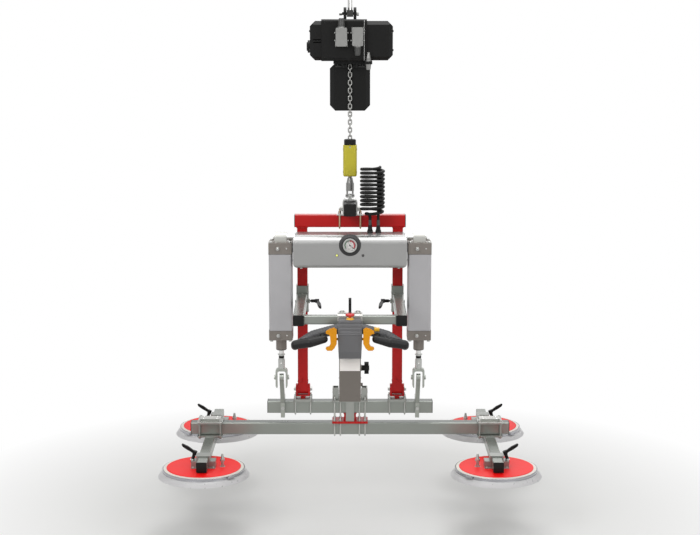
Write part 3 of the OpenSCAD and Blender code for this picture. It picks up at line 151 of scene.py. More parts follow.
def finish(name, colour, rough, metal=0.0, blotch=0.05, uneven=0.02, grain=900, relief=0.2,
           corner=0.8, wear=0.0, worn="#A5A6A4", stretch=(1, 1, 1), coat=0.0, marks=0.0,
           specular=0.5):
    """Mottled colour, uneven gloss, fine relief, softened corners and worn edges.

    grain is the relief's scale per metre, stretch pulls it into brushed lines, corner is the
    corners' radius in millimetres, and marks is the depth of faint scuffs.
    """
    mat = bpy.data.materials.new(name)
    mat.use_nodes = True
    n = Nodes(mat.node_tree)
    where = n.place()
    pulled = n.add("Mapping", {"Vector": where, "Scale": stretch}).outputs[0]
    cloud = n.noise(where, CLOUD_SCALE, 5)
    patch = n.noise(where, PATCH_SCALE, 4)
    fine = n.noise(pulled, grain, 2)
    base = n.mix(n.spread(cloud, 0.3, 0.7, 0, 1), linear(colour, 1 - blotch),
                 linear(colour, 1 + blotch))
    gloss = n.spread(n.maths("ADD", cloud, patch), 0.7, 1.3, max(0.02, rough - uneven),
                     rough + uneven)
    soft = n.add("Bevel", {"Radius": corner / 1000}, samples=4).outputs["Normal"]
    bump = n.add("Bump", {"Strength": relief, "Distance": 0.0001, "Height": fine,
                                    "Normal": soft}).outputs["Normal"]
    inputs = {"Metallic": metal, "Normal": bump}
    if marks:
        scuff = n.spread(n.noise(pulled, SCUFF_SCALE, 6), 0.62, 0.7, 0, marks)
        gloss = n.maths("ADD", gloss, scuff)
    if wear:
        flat = n.add("NewGeometry").outputs["Normal"]
        turned = n.add("VectorMath", {0: soft, 1: flat},
                       operation="DOT_PRODUCT").outputs["Value"]
        edge = n.spread(turned, 0.99, 0.9, 0, 1)
        bare = n.maths("MULTIPLY", edge, n.spread(patch, 0.5, 0.62, 0, wear))
        base = n.mix(bare, base, linear(worn))
        inputs["Metallic"] = n.spread(bare, 0, 1, metal, 0.9)
    inputs.update({"Base Color": base, "Roughness": gloss, "Specular IOR Level": specular})
    if coat:
        inputs["Coat Weight"] = coat
    n.surface(inputs)
    return mat


def threaded(name, colour, rough, metal):
    """Metal with fine thread rings along Z."""
    mat = finish(name, colour, rough, metal, grain=1600, relief=0.1)
    n = Nodes(mat.node_tree, fresh=False)
    rings = n.add("TexWave", {"Vector": n.place(), "Scale": 250.0},
                  bands_direction="Z").outputs["Fac"]
    normal = shader_of(mat).inputs["Normal"]
    ridge = n.add("Bump", {
        "Strength": 0.8, "Distance": 0.0005, "Height": rings,
        "Normal": normal.links[0].from_socket}).outputs["Normal"]
    n.tree.links.new(ridge, normal)
    return mat


def clear(name, colour, rough, ior, through):
    """A translucent finish with a faint unevenness."""
    mat = bpy.data.materials.new(name)
    mat.use_nodes = True
    n = Nodes(mat.node_tree)
    cloud = n.noise(n.place(), 60, 4)
    n.surface({
        "Base Color": n.mix(cloud, linear(colour, 0.97), linear(colour, 1.0)),
        "Roughness": n.spread(cloud, 0.3, 0.7, max(0.0, rough - 0.03), rough + 0.03),
        "IOR": ior, "Transmission Weight": through})
    return mat


def glowing(name, colour, glow):
    """A lit lamp lens."""
    mat = finish(name, colour, 0.25, relief=0.05, coat=0.4)
    shader = shader_of(mat)
    shader.inputs["Emission Color"].default_value = linear(colour)
    shader.inputs["Emission Strength"].default_value = glow
    return mat


# Metals
steel = finish("zinc steel", "#B4B5B2", 0.3, 0.9, grain=1600, relief=0.12, corner=0.5)
chrome = finish("bright steel", "#D6D6D4", 0.14, 1.0, blotch=0.03, uneven=0.05, relief=0.05)
clevis_skin = finish("pale clevis", "#BDBDB8", 0.34, 0.5, relief=0.1, corner=1.2)
fitting_metal = finish("limit fitting metal", "#868684", 0.34, 0.8, grain=1500, relief=0.1,
                       corner=0.6)
bronze = finish("yellow zinc", "#BFA98A", 0.3, 0.9, grain=1600, relief=0.12, corner=0.4)
chain_metal = finish("chain steel", "#989895", 0.26, 1.0, grain=2200, relief=0.15, corner=0.4)
dark_steel = finish("blackened steel", "#3C3C3B", 0.38, 0.7, relief=0.25, wear=0.7)
thread_steel = threaded("threaded steel", "#BFC0BC", 0.32, 0.9)
housing_paint = finish("silver housing paint", "#9C9C9B", 0.3, 0.72, blotch=0.02, grain=2600,
                       relief=0.015, corner=1.5)
barrel_skin = finish("anodised barrel", "#AAA9AB", 0.36, 0.55, grain=500, relief=0.1,
                     stretch=(1, 1, 0.02), corner=1.2, marks=0.05)
block_skin = finish("cylinder block", "#7C7670", 0.42, 0.4, relief=0.3, corner=1.5, wear=0.5,
                    worn="#A8A49C")
# Darker copy of the beam tubes' grey for their top faces: painted shade
painted_shade_beam_top = finish("shaded beam top", "#5F635F", 0.3, 0.55, uneven=0.03, grain=420, relief=0.02,
                  stretch=(0.03, 1, 1), corner=0.2)
beam_skin = finish("grey beam tube", "#8F938D", 0.3, 0.55, blotch=0.03, uneven=0.0, relief=0.0,
                   corner=0.2)
arm_skin = finish("grey arm tube", "#8B8F89", 0.26, 0.6, blotch=0.03, uneven=0.0, relief=0.0,
                  corner=0.2)
clamp_skin = finish("clamp plate", "#9A9C97", 0.32, 0.7, grain=700, corner=1.0, wear=0.4)
lever_skin = finish("tilt lever plate", "#A3A7A0", 0.34, 0.7, grain=700, corner=1.0)
saddle_skin = finish("saddle plate", "#8F918D", 0.32, 0.7, grain=800, corner=1.0, wear=0.4)
post_skin = finish("warm grey post", "#6F6963", 0.36, 0.35, blotch=0.04, uneven=0.04, grain=500,
                   relief=0.05, stretch=(1, 1, 0.03), corner=1.8, marks=0.03)
head_metal = finish("bright head clamp", "#BDBCB8", 0.26, 0.85, relief=0.15, corner=1.4)
band_metal = finish("polished band", "#A4A4A8", 0.16, 1.0, blotch=0.03, uneven=0.04,
                    relief=0.03, corner=0.6)

# Paints
hoist_paint = finish("black powder coat", "#080807", 0.42, blotch=0.1, grain=1300, corner=1.6,
                     wear=0.2, worn="#3A3A36", marks=0.06, specular=0.2)
block_paint = finish("yellow block paint", "#B9AE28", 0.38, blotch=0.03, grain=1200,
                     relief=0.05, corner=2.5, wear=0.3, worn="#8E8A50")
frame_paint = finish("red powder coat", "#B81A1A", 0.36, blotch=0.04, grain=1200, relief=0.08,
                     corner=2.0, wear=0.3, worn="#7E3028", marks=0.05, specular=0.22)
pad_red = finish("red pad cover", "#F01010", 0.45, blotch=0.03, grain=700, relief=0.1,
                 corner=1.0, specular=0.2)
pad_cream = finish("cream pad rim", "#DAD7CE", 0.4, blotch=0.04, corner=1.0)
dial_white, dial_ink, dial_green, dial_red = (
    finish(f"dial {name}", colour, 0.5, blotch=0.02, relief=0.02) for name, colour in (
        ("white", "#D9D6D3"), ("ink", "#2A2C2C"), ("green", "#2F7A4A"), ("red", "#D8243A")))

# Plastics, rubbers and lenses
plug_plastic = finish("grey connector hood", "#8C8C8A", 0.34, 0.35, grain=1500, relief=0.3,
                      corner=1.5)
gland_plastic = finish("dark connector plastic", "#3E3E3D", 0.45, grain=1500, corner=1.0)
cap_plastic = finish("black cap plastic", "#0E0E0D", 0.48, grain=1500, relief=0.3, corner=1.5,
                     specular=0.25)
tiller_plastic = finish("grey moulding", "#5E5E60", 0.42, blotch=0.06, grain=1300, relief=0.5,
                        corner=2.5)
wing_plastic = finish("ribbed moulding", "#4C4C4E", 0.5, blotch=0.14, grain=700, relief=0.7,
                      corner=1.5)
paddle_plastic = finish("orange paddle", "#DA8F00", 0.36, blotch=0.04, relief=0.1, corner=2.0,
                        specular=0.3)
yellow_plastic = finish("yellow control", "#F0B81E", 0.3, relief=0.15, corner=1.2, coat=0.2)
stop_plastic = finish("red stop button", "#D01818", 0.26, relief=0.1, corner=1.5, coat=0.4)
lever_plastic = finish("lever plastic", "#070707", 0.4, grain=1300, relief=0.4, corner=1.5,
                       specular=0.2)
label_film = finish("blank label film", "#EDE8E4", 0.36, blotch=0.02, grain=1200, relief=0.05)
rubber = finish("black rubber", "#0A0A09", 0.55, grain=1900, relief=0.4, corner=1.2,
                specular=0.22)
grip_rubber = finish("grip rubber", "#0E0E0F", 0.42, blotch=0.12, grain=1700, relief=0.6,
                     corner=1.5, specular=0.3)
ring_rubber = finish("gauge ring", "#2C2C2D", 0.5, grain=1500, relief=0.3, corner=3.0)
pad_under = finish("pad underside", "#4A4A48", 0.6, relief=0.3)
lip_rubber = clear("clear lip rubber", "#D9D8D9", 0.3, 1.38, 0.3)
gauge_glass = clear("gauge glass", "#FFFFFF", 0.02, 1.45, 1.0)
lamp_lit = glowing("lit lamp", "#D8DC70", 0.7)
lamp_dark = finish("dark lamp", "#3A3836", 0.25, relief=0.05, coat=0.4)


# Finishes of the solids that stay as they are
def dress(name, finishes, rule=None):
    """Gives a node its finishes; rule(x, y, z, nz) lists the faces of the second and later."""
    mesh = nodes[name].data
    mesh.materials.clear()
    for mat in finishes:
        mesh.materials.append(mat)
    count = len(mesh.polygons)
    centre, normal = np.empty(count * 3, np.float32), np.empty(count * 3, np.float32)
    mesh.polygons.foreach_get("center", centre)
    mesh.polygons.foreach_get("normal", normal)
    x, y, z = centre.reshape(-1, 3).T.astype(float) * 1000
    z = z + ROD_TOP
    which = np.zeros(count, np.int32)
    if rule:
        for k, where in enumerate(rule(x, y, z, normal.reshape(-1, 3)[:, 2]), 1):
            which[where] = k
    mesh.polygons.foreach_set("material_index", which)
    mesh.update()


def near(a, b, a0, b0, r):
    """Faces within r of a line that runs along the third axis."""
    return np.hypot(a - a0, b - b0) < r


def near_any(a, b, spots, r):
    """Faces within r of any of several such lines."""
    return np.any([near(a, b, a0, b0, r) for a0, b0 in spots], axis=0)


def between(value, low, high):
    return (value > low) & (value < high)


def dress_plain():
    """Nodes that have one finish."""
    for mat, names in (
            (hoist_paint, ("hoist_housing", "end_covers", "chain_container")),
            (steel, ("load_sheave",)), (chain_metal, ("load_chain",)), (rubber, ("buffer_cap",)),
            (fitting_metal, ("swivel_shank", "swivel_fork")), (chrome, ("cylinder_shaft",)),
            (cap_plastic, ("balance_tube", "frame_caps", "beam_caps", "handle_caps")),
            (frame_paint, ("red_frame",)), (dial_ink, ("gauge_needle",)),
            (grip_rubber, ("tiller_grips",)), (paddle_plastic, ("butterfly",)),
            (stop_plastic, ("estop_button",)), (yellow_plastic, ("rocker_button",)),
            (lever_plastic, ("lever_sleeve_left", "lever_sleeve_right", "lever_head")),
            (lever_plastic, [f"lever_pad_{key}" for key in PADS]),
            (lip_rubber, [f"lip_{key}" for key in PADS])):
        for name in names:
            dress(name, [mat])


def dress_hoist():
    dress("suspension_rod", [chrome, dark_steel], lambda x, y, z, nz: [
        z < HANGER_Z + 17.5])
    dress("suspension_bracket", [hoist_paint, steel], lambda x, y, z, nz: [
        near(y, z, 0, HANGER_Z, 12) & (np.abs(x) > 31)])
    screws = [(plug + s * 31, z) for plug in (PLUG_LEFT, PLUG_RIGHT) for s in ENDS
              for z in (2056, 2092)]
    dress("plug_connectors", [plug_plastic, cap_plastic, steel, gland_plastic],
          lambda x, y, z, nz: [
              y > HOIST_Y0 - 6.2, near_any(x, z, screws, 3.2) & (y > HOIST_Y0 - 5.5),
              (y < HOIST_Y0 - 7) & ~between(z, 2024.5, 2121.5)])
    dress("chain_guide", [hoist_paint, fitting_metal], lambda x, y, z, nz: [
        near(x, y, *LIMIT_AT, 15) & ~between(z, HOIST_Z0 - 14.1, HOIST_Z0 + 0.1)])
    dress("hook_block", [block_paint, steel], lambda x, y, z, nz: [
        near(x, z, 0, 1541.65, 4.1) & (np.abs(y) > 26)])


def dress_gauge():
    def rule(x, y, z, nz):
        r = np.hypot(x, z - GAUGE_Z)
        return [r > 34.4, (r < 26.85) & (y < -243), (r < 29.3) & between(y, -241, -237.8),
                near(x, z, LAMP_LEFT, LAMP_Z, 5), near(x, z, LAMP_RIGHT, LAMP_Z, 5)]

    dress("vacuum_gauge", [steel, ring_rubber, gauge_glass, dial_white, lamp_lit, lamp_dark], rule)


def dress_frame():
    bolts = [(x, s * (TOP_W / 2 + 4.6)) for x in (-51, 51) for s in ENDS]
    dress("carriage", [steel, bronze], lambda x, y, z, nz: [
        near_any(x, y, bolts, 4.4) | (z < TOP_Z)])
    dress("pump_housing", [housing_paint, dark_steel], lambda x, y, z, nz: [
        between(y, HOUSING_Y0 + 30, HOUSING_Y1 - 6) & between(z, HOUSING_Z0 + 3.5, 1062)
        & (np.abs(x) < HOUSING_HALF - 8)])


def dress_cylinders():
    front = CYLINDER_Y - BARREL_W / 2
    for side, sign in SIDES.items():
        x0 = sign * CYLINDER_X
        dress(f"cylinder_{side}", [block_skin, barrel_skin, steel, clevis_skin],
              lambda x, y, z, nz: [
                  between(z, BLOCK_LOW[1] + 0.1, BLOCK_HIGH[0] - 0.1)
                  & ((np.abs(x - x0) > 51.5) | (np.abs(y - CYLINDER_Y) > 51.5)),
                  (y < front - 0.1) & (np.abs(x - (x0 - PORT_X)) < 8.5),
                  z > BLOCK_HIGH[1] + 0.1])
        dress(f"piston_rod_{side}", [steel, chrome, cap_plastic, lever_skin],
              lambda x, y, z, nz: [z > 543.2, between(z, 520.8, 533.2), z < 470])


def dress_beams():
    rods = [(x, s * SADDLE_Y) for x in (-77, -48, 47, 75) for s in ENDS]
    corner_rods = [(side * UPRIGHT_X + x, s * SADDLE_Y) for side in ENDS for x in (-38, 38)
                   for s in ENDS]
    # The top faces take the darker grey: painted shade
    dress("lower_crossbeam", [beam_skin, painted_shade_beam_top], lambda x, y, z, nz: [nz > 0.9])

    def clamps(x, y, z, nz):
        below = (z < BEAM_Z) | ((z < LOWER_Z) & (np.abs(x) > 150))
        corner_nuts = near_any(x, y, corner_rods, 7.8) & between(
            z, LOWER_TOP + 14.1, LOWER_TOP + 21.2)
        nuts = near_any(x, y, rods, 7.8) & (between(z, LOWER_TOP + 8.1, LOWER_TOP + 15.2)
                                            | between(z, BEAM_TOP + 10.1, BEAM_TOP + 17.2))
        return [near_any(x, y, rods + corner_rods, 4.4) | below, corner_nuts | nuts]

    dress("cross_clamps", [clamp_skin, thread_steel, steel], clamps)
    dress("tilt_brackets", [frame_paint, steel], lambda x, y, z, nz: [
        near(y, z, 0, TILT_Z, 12.2) & (np.abs(np.abs(x) - UPRIGHT_X) > 35.5)])
    # The top faces within 620 mm of the middle take the darker grey: painted shade
    dress("main_beam", [beam_skin, painted_shade_beam_top], lambda x, y, z, nz: [
        (nz > 0.9) & (np.abs(x) < 620)])
    dress("tilt_levers", [lever_skin, steel], lambda x, y, z, nz: [
        near(np.abs(x), z, CYLINDER_X, LOWER_Z + 30, 14.2) & ~between(y, -52.1, 29.9)])


def dress_arms():
    for side, sign in SIDES.items():
        studs = [(sign * PAD_X + x, y) for x in (-52, 52) for y in (-44, 44)]

        def rule(x, y, z, nz):
            stud = near_any(x, y, studs, 9.3)
            block = np.abs(y) < 65.1
            arm_top = ARM_Z + 24.9
            # The last mask gives the clamp plates' top faces the lighter, shinier head metal: a
            # painted highlight on the tops
            return [stud & ~between(z, arm_top, CLAMP_TOP), np.abs(y) > ARM_END - 0.1,
                    (z > arm_top) & block & ~(stud & (z > CLAMP_TOP)),
                    (z > 170) & block & (nz > 0.9) & ~stud]

        dress(f"pad_arm_{side}", [arm_skin, steel, cap_plastic, clamp_skin, head_metal], rule)


def dress_pads():
    for key, (sx, sy) in PADS.items():
        x0, y0 = sx * PAD_X, sy * PAD_Y

        def rule(x, y, z, nz):
            r = np.hypot(x - x0, y - y0)
            return [(r > 150) & between(z, 26.1, 40.3),
                    between(z, 39.9, 42.1) & between(r, 1, DISC_R + 0.3) & (nz > -0.5),
                    r > 192.2, (z < 34.1) & (r < 192) & (nz < -0.5),
                    near(x, y, x0 - sx * FITTING_X, y0, 12) & (z > PAD_TOP + 0.2)]

        dress(f"pad_{key}", [saddle_skin, pad_cream, pad_red, band_metal, pad_under, steel], rule)


def dress_handle():
    dress("handle_frame", [beam_skin, arm_skin, steel], lambda x, y, z, nz: [
        (y < -30.5) & (np.abs(x) > CARRIER_X - 25),
        (np.abs(x) > UPRIGHT_X + 30.1) & near(y, z, 0, SLEEVE_LEVER_Z, 10)])
    dress("head_post", [post_skin, head_metal], lambda x, y, z, nz: [z > 766.9])
    dress("tiller_body", [tiller_plastic, wing_plastic, yellow_plastic], lambda x, y, z, nz: [
        np.abs(x) > 57.5, (z > HEAD_TOP + 0.05) & near(x, y, 0, STOP_Y, 19.2)])
    dress("star_knob", [lever_plastic, steel], lambda x, y, z, nz: [x > 88.2])


# Building pieces
def stand(point, axis=(0, 0, 1)):
    """Matrix that stands local millimetres on a point, with local Z along axis."""
    axis = Vector(axis).normalized()
    if abs(axis.z) > 0.9999:
        aim = Matrix.Identity(4) if axis.z > 0 else Matrix.Rotation(pi, 4, "X")
    else:
        aim = axis.to_track_quat("Z", "Y").to_matrix().to_4x4()
    return Matrix.Translation(at(*point)) @ aim @ Matrix.Scale(0.001, 4)


def round_spots(r, count):
    """Corners of a circle's polygon round the origin."""
    angles = [2 * pi * k / count for k in range(count)]
    return [(r * cos(a), r * sin(a)) for a in angles]


def lathe(bm, place, profile, segments=32):
    """Turned form from (radius, height) pairs."""
    rings = [[bm.verts.new(place @ Vector((x, y, h)))
              for x, y in round_spots(r, segments if r > 1e-6 else 1)] for r, h in profile]
    for low, high in zip(rings, rings[1:]):
        for k in range(segments):
            corners = [low[k % len(low)], low[(k + 1) % len(low)],
                       high[(k + 1) % len(high)], high[k % len(high)]]
            face = [v for i, v in enumerate(corners) if v not in corners[:i]]
            if len(face) > 2:
                bm.faces.new(face)


def prism(bm, place, outline, low, high, soft):
    """Straight form over an outline of (x, y) pairs, with softened edges."""
    bottom = [bm.verts.new(place @ Vector((x, y, low))) for x, y in outline]
    top = [bm.verts.new(place @ Vector((x, y, high))) for x, y in outline]
    count = len(outline)
    faces = [bm.faces.new(bottom[::-1]), bm.faces.new(top)]
    faces += [bm.faces.new([bottom[k], bottom[(k + 1) % count], top[(k + 1) % count], top[k]])
              for k in range(count)]
    edges = list(dict.fromkeys(e for f in faces for e in f.edges))
    bmesh.ops.bevel(bm, geom=edges, offset=soft / 1000, segments=3, profile=0.7, affect="EDGES")


def slab(bm, low, high, soft=1.0):
    """Box between two corners of the source, with softened edges."""
    (x0, y0, z0), (x1, y1, z1) = low, high
    prism(bm, stand((0, 0, 0)), [(x0, y0), (x1, y0), (x1, y1), (x0, y1)], z0, z1, soft)


def resample(path, step, closed=False):
    """Points along a path, no further apart than step, in millimetres."""
    path = [Vector(p) for p in path]
    if closed:
        path.append(path[0])
    points = []
    for a, b in zip(path, path[1:]):
        count = max(1, round((b - a).length / step))
        points += [a.lerp(b, k / count) for k in range(count)]
    return points if closed else points + [path[-1]]


def sweep(bm, path, radius, sides=10, closed=False):
    """Round bar along points of the source; radius is a number or a function of a ring's number."""
    points = [at(*p) for p in path]
    count = len(points)
    rings, across = [], None
    for k, point in enumerate(points):
        ahead = points[(k + 1) % count] if closed or k < count - 1 else point
        behind = points[k - 1] if closed or k else point
        along = (ahead - behind).normalized()
        if across is None:
            across = along.orthogonal()
        across = (across - along * across.dot(along)).normalized()
        up = along.cross(across)
        size = (radius(k) if callable(radius) else radius) / 1000
        rings.append([bm.verts.new(point + (across * u + up * v) * size)
                      for u, v in round_spots(1, sides)])
    pairs = list(zip(rings, rings[1:])) + ([(rings[-1], rings[0])] if closed else [])
    for low, high in pairs:
        for j in range(sides):
            bm.faces.new([low[j], low[(j + 1) % sides], high[(j + 1) % sides], high[j]])
    if not closed:
        bm.faces.new(rings[0][::-1])
        bm.faces.new(rings[-1])


def weld(bm, corners, bead=3.0):
    """Rippled weld bead round a joint."""
    def ripple(k):
        return bead * (1 + 0.1 * sin(1.9 * k) + 0.06 * sin(0.37 * k))

    sweep(bm, resample(corners, 1.3, True), ripple, 8, True)


def square_loop(axis, centre, half, level):
    """Corners of a square round a tube whose axis is x, y or z."""
    a, b = centre
    loop = [(a - half, b - half), (a + half, b - half), (a + half, b + half), (a - half, b + half)]
    return [{"x": (level, u, v), "y": (u, level, v), "z": (u, v, level)}[axis] for u, v in loop]


def hoop(bm, x0, y0, z, r, step, wire):
    """Thin level ring, with a point every step degrees."""
    angles = [radians(a) for a in range(0, 360, step)]
    loop = [(x0 + r * cos(a), y0 + r * sin(a), z) for a in angles]
    sweep(bm, loop, wire, 6, True)


def cap_screw(bm, place, r=5.0, h=5.0):
    """Round socket screw head."""
    lathe(bm, place, [(r, 0), (r, h - 0.8), (r - 0.8, h), (0.55 * r, h), (0.5 * r, h - 0.4),
                      (0.5 * r, 0.35 * h), (0, 0.3 * h)], 20)


def dome_screw(bm, place, r=4.0, h=2.4):
    """Low domed screw head with a small recess."""
    lathe(bm, place, [(r, 0), (0.94 * r, 0.45 * h), (0.75 * r, 0.8 * h), (0.42 * r, h),
                      (0.38 * r, 0.5 * h), (0, 0.45 * h)], 18)


def hex_bolt(bm, place, across, h, washer):
    """Hexagon head on its washer."""
    r = across / 2 / cos(pi / 6)
    lathe(bm, place, [(0, 0), (r * 1.12, 0), (r * 1.12, washer), (0, washer)], 28)
    lathe(bm, place, [(r, washer), (r, washer + h * 0.82), (r * 0.9, washer + h),
                      (0, washer + h)], 6)


def piece(name, bm, body, mat, sharp=35):
    """Finished piece that rides on a body."""
    bmesh.ops.recalc_face_normals(bm, faces=bm.faces)
    mesh = bpy.data.meshes.new(name)
    bm.to_mesh(mesh)
    bm.free()
    for face in mesh.polygons:
        face.use_smooth = True
    mesh.set_sharp_from_angle(angle=radians(sharp))
    mesh.materials.append(mat)
    obj = bpy.data.objects.new(name, mesh)
    bpy.context.scene.collection.objects.link(obj)
    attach(obj, body)
    return obj


# Hoist
def hoist_detail():
    # Bright strip in the parting groove, down the front
    bm = bmesh.new()
    slab(bm, (HOIST_X1 - 13.9, HOIST_Y0 - 0.4, HOIST_Z0 + 4),
         (HOIST_X1 - 12.1, HOIST_Y0 + 1.6, HOIST_Z1 - 4), 0.3)
    piece("hoist_parting_strip", bm, "hoist", chrome)

    # Socket screws of both end covers
    bm = bmesh.new()
    for x, side in ((HOIST_X1 + 124, 1), (HOIST_X0 - 55, -1)):
        for y, z in product((-52, 72), (2010, 2100)):
            cap_screw(bm, stand((x, y, z), (side, 0, 0)), 5, 4)
    piece("hoist_cover_screws", bm, "hoist", dark_steel)

    # Screws of the front plate, which has none at one place, and of the back
    bm = bmesh.new()
    for x, z in product((-122, -92, 8, 60), (1974, 2140)):
        if (x, z) != (8, 2140):
            dome_screw(bm, stand((x, HOIST_Y0, z), FRONT), 3.4, 1.6)
    for x, z in product((-120, -20, 60), (1980, 2134)):
        cap_screw(bm, stand((x, HOIST_Y1, z), BACK), 4.5, 3.5)
    piece("hoist_plate_screws", bm, "hoist", hoist_paint)

    # Cooling fins on the motor cover's back
    bm = bmesh.new()
    for k in range(7):
        z = 1992 + 21 * k
        slab(bm, (HOIST_X1 + 12, HOIST_Y1 - 7.5, z), (HOIST_X1 + 100, HOIST_Y1 - 2, z + 5), 1.2)
    piece("motor_fins", bm, "hoist", hoist_paint)


def connector_detail():
    # Seam, side clips and screw of each hood; the right hood stands upside down
    front = HOIST_Y0 - 50
    bm = bmesh.new()
    for x, half, low, high, up in ((PLUG_LEFT, 27, 2028, 2116, 1), (PLUG_RIGHT, 26, 2030, 2118, -1)):
        seam, end = (low + 12, high - 14) if up > 0 else (high - 12, low + 14)
        slab(bm, (x - half - 0.6, front - 0.6, seam - 0.8),
             (x + half + 0.6, HOIST_Y0 - 7, seam + 0.8), 0.3)
        for side in ENDS:
            clip = x + side * (half + 1.2)
            slab(bm, (clip - 1.2, front + 17, seam - 14), (clip + 1.2, front + 29, seam + 14), 0.8)
        dome_screw(bm, stand((x - up * 16, front, end), FRONT), 3.2, 1.6)
    piece("connector_trim", bm, "hoist", plug_plastic)

    # Ribbed glands
    bm = bmesh.new()
    ribs = ((0, 15.2), (3, 15.4), (6, 14.4), (9, 15.0), (12, 14.0), (15, 14.6), (18, 13.4),
            (21, 13.8), (25, 12.5), (27.6, 10.4))
    profile = [(15.5, 0)] + [(r, 12.2 + h) for h, r in ribs] + [(0, 39.9)]
    for x, z, up in ((PLUG_LEFT, 2121, 1), (PLUG_RIGHT, 2025, -1)):
        lathe(bm, stand((x, front + 22, z), (0, 0, up)), profile, 28)
    piece("connector_glands", bm, "hoist", gland_plastic)


def chain_detail():
    # Rim and lid bolts of the chain container
    bm = bmesh.new()
    front, back, rim_z = 14, 110, 1926
    for y in (front - 0.5, back + 0.5):
        slab(bm, (-70, y - 1.4, rim_z), (70, y + 1.4, rim_z + 6), 0.8)
    for x, (y, way) in product((-60, 60), ((front, -1), (back, 1))):
        cap_screw(bm, stand((x, y, rim_z + 11), (0, way, 0)), 4.5, 3.5)
    piece("container_rim", bm, "hoist", dark_steel)

    # Bolts of the guide plate
    bm = bmesh.new()
    for x, y in ((-70, -36), (-34, -38), (44, -38), (70, -36)):
        hex_bolt(bm, stand((x, y, HOIST_Z0 - 14), DOWN), 11, 5, 1.2)
    piece("guide_bolts", bm, "hoist", hoist_paint)

    # Small socket screws in the hook block's sides
    bm = bmesh.new()
    for side, z, y in product(ENDS, (1418, 1530), (-20, 20)):
        cap_screw(bm, stand((side * 33.5, y, z), (side, 0, 0)), 3.2, 0.9)
    piece("block_screws", bm, "block", dark_steel)


# Spiral cable
CABLE_R = 6.5
COIL_AT, COIL_R, LOOP_R, INNER_R, BEND_R = (108, -130), 54, 31, 36.4, 22
INNER_ANGLE, STEM_ANGLE, BEND_Z, GLAND_TOP, COIL_PITCH, COIL_TURNS = 37, 110, 1206, 1170, 19, 12
FULLER = 0.7  # the wire is drawn this much thicker, so that its turns stand close
CLOSER = 0.07  # the pitch gives way by this much, so that the top stays as high


def cable_route(step=7.5):
    """The cable's way from one gland up round the coil and down its inside to the other."""
    def on_coil(r, a, z):
        a = radians(a)
        return (COIL_AT[0] + r * cos(a), COIL_AT[1] + r * sin(a), z)

    def ease(t):
        return t * t * (3 - 2 * t)

    def angles(start, end):
        count = max(1, ceil((end - start) / step))
        return [start + (end - start) * (k + 1) / count for k in range(count)]

    def coil_z(a):
        return coil_z0 + (COIL_PITCH - CLOSER) * (a - coil_a0) / 360

    def turned(length, r):
        """Degrees that a length takes on a circle."""
        return degrees(length / r)

    coil_r, bend_end, rise = COIL_R - FULLER, 84, 0.08
    loop_a0 = STEM_ANGLE + turned(BEND_R * (1 - cos(radians(bend_end))), LOOP_R)
    loop_z0 = BEND_Z + BEND_R * sin(radians(bend_end))
    grow_a0, grow_a1, coil_a0 = 270, 400, 630
    grow_z0 = loop_z0 + 3
    coil_z0 = grow_z0 + rise * (coil_a0 - grow_a0)
    down_a0 = INNER_ANGLE + 360 * COIL_TURNS - turned(BEND_R, INNER_R)
    shrink_a0 = down_a0 - 200
    top = coil_z(down_a0)
    stem = on_coil(LOOP_R, STEM_ANGLE, 0)
    inner = on_coil(INNER_R, INNER_ANGLE, 0)

    # Up out of the first gland, over into the loose turn and out to the coil
    route = [(*stem[:2], z) for z in (GLAND_TOP - 4, GLAND_TOP + 13, BEND_Z - 14, BEND_Z - 6)]
    for p in (radians(d) for d in range(0, bend_end + 1, 7)):
        route.append(on_coil(LOOP_R, STEM_ANGLE + turned(BEND_R * (1 - cos(p)), LOOP_R),
                             BEND_Z + BEND_R * sin(p)))
    route += [on_coil(LOOP_R, a, loop_z0 + 3 * (a - loop_a0) / (grow_a0 - loop_a0))
              for a in angles(loop_a0, grow_a0)]
    for a in angles(grow_a0, coil_a0):
        share = ease(min(1, (a - grow_a0) / (grow_a1 - grow_a0)))
        route.append(on_coil(LOOP_R + (coil_r - LOOP_R) * share, a, grow_z0 + rise * (a - grow_a0)))

    # Round the coil, in at its top and down its inside into the second gland
    route += [on_coil(coil_r, a, coil_z(a)) for a in angles(coil_a0, shrink_a0)]
    for a in angles(shrink_a0, down_a0):
        share = ease((a - shrink_a0) / (down_a0 - shrink_a0))
        route.append(on_coil(coil_r + (INNER_R - coil_r) * share, a, coil_z(a)))
    for p in (radians(d) for d in range(8, 91, 8)):
        route.append(on_coil(INNER_R, down_a0 + turned(BEND_R * sin(p), INNER_R),
                             top - BEND_R * (1 - cos(p))))
    route += [(*inner[:2], z) for z in (top - BEND_R - 12, 1360, 1300, 1240, GLAND_TOP + 13,
                                        GLAND_TOP - 4)]
    return route, stem, inner


def cable():
    route, stem, inner = cable_route()

    def wire(k):
        """Real thickness at the glands, fuller above them."""
        return CABLE_R + FULLER * min(1, max(0, (route[k][2] - GLAND_TOP - 13) / 12))

    bm = bmesh.new()
    sweep(bm, route, wire, 14)
    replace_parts(piece("spiral_lead", bm, "frame", rubber, 60), "spiral_cable")
    bm = bmesh.new()
    ribs = [(8.4, 0)] + [(7.7 + 0.5 * (k % 2), 2 + 2.6 * k) for k in range(9)] + [(6.6, 26)]
    for x, y, _ in (stem, inner):
        lathe(bm, stand((x, y, GLAND_TOP)), ribs, 24)
        lathe(bm, stand((x, y, HOUSING_Z1 + 3.2)), [(14.2, 0), (14.6, 1), (14.6, 2.2), (12, 3)], 28)
    piece("lead_reliefs", bm, "frame", gland_plastic)


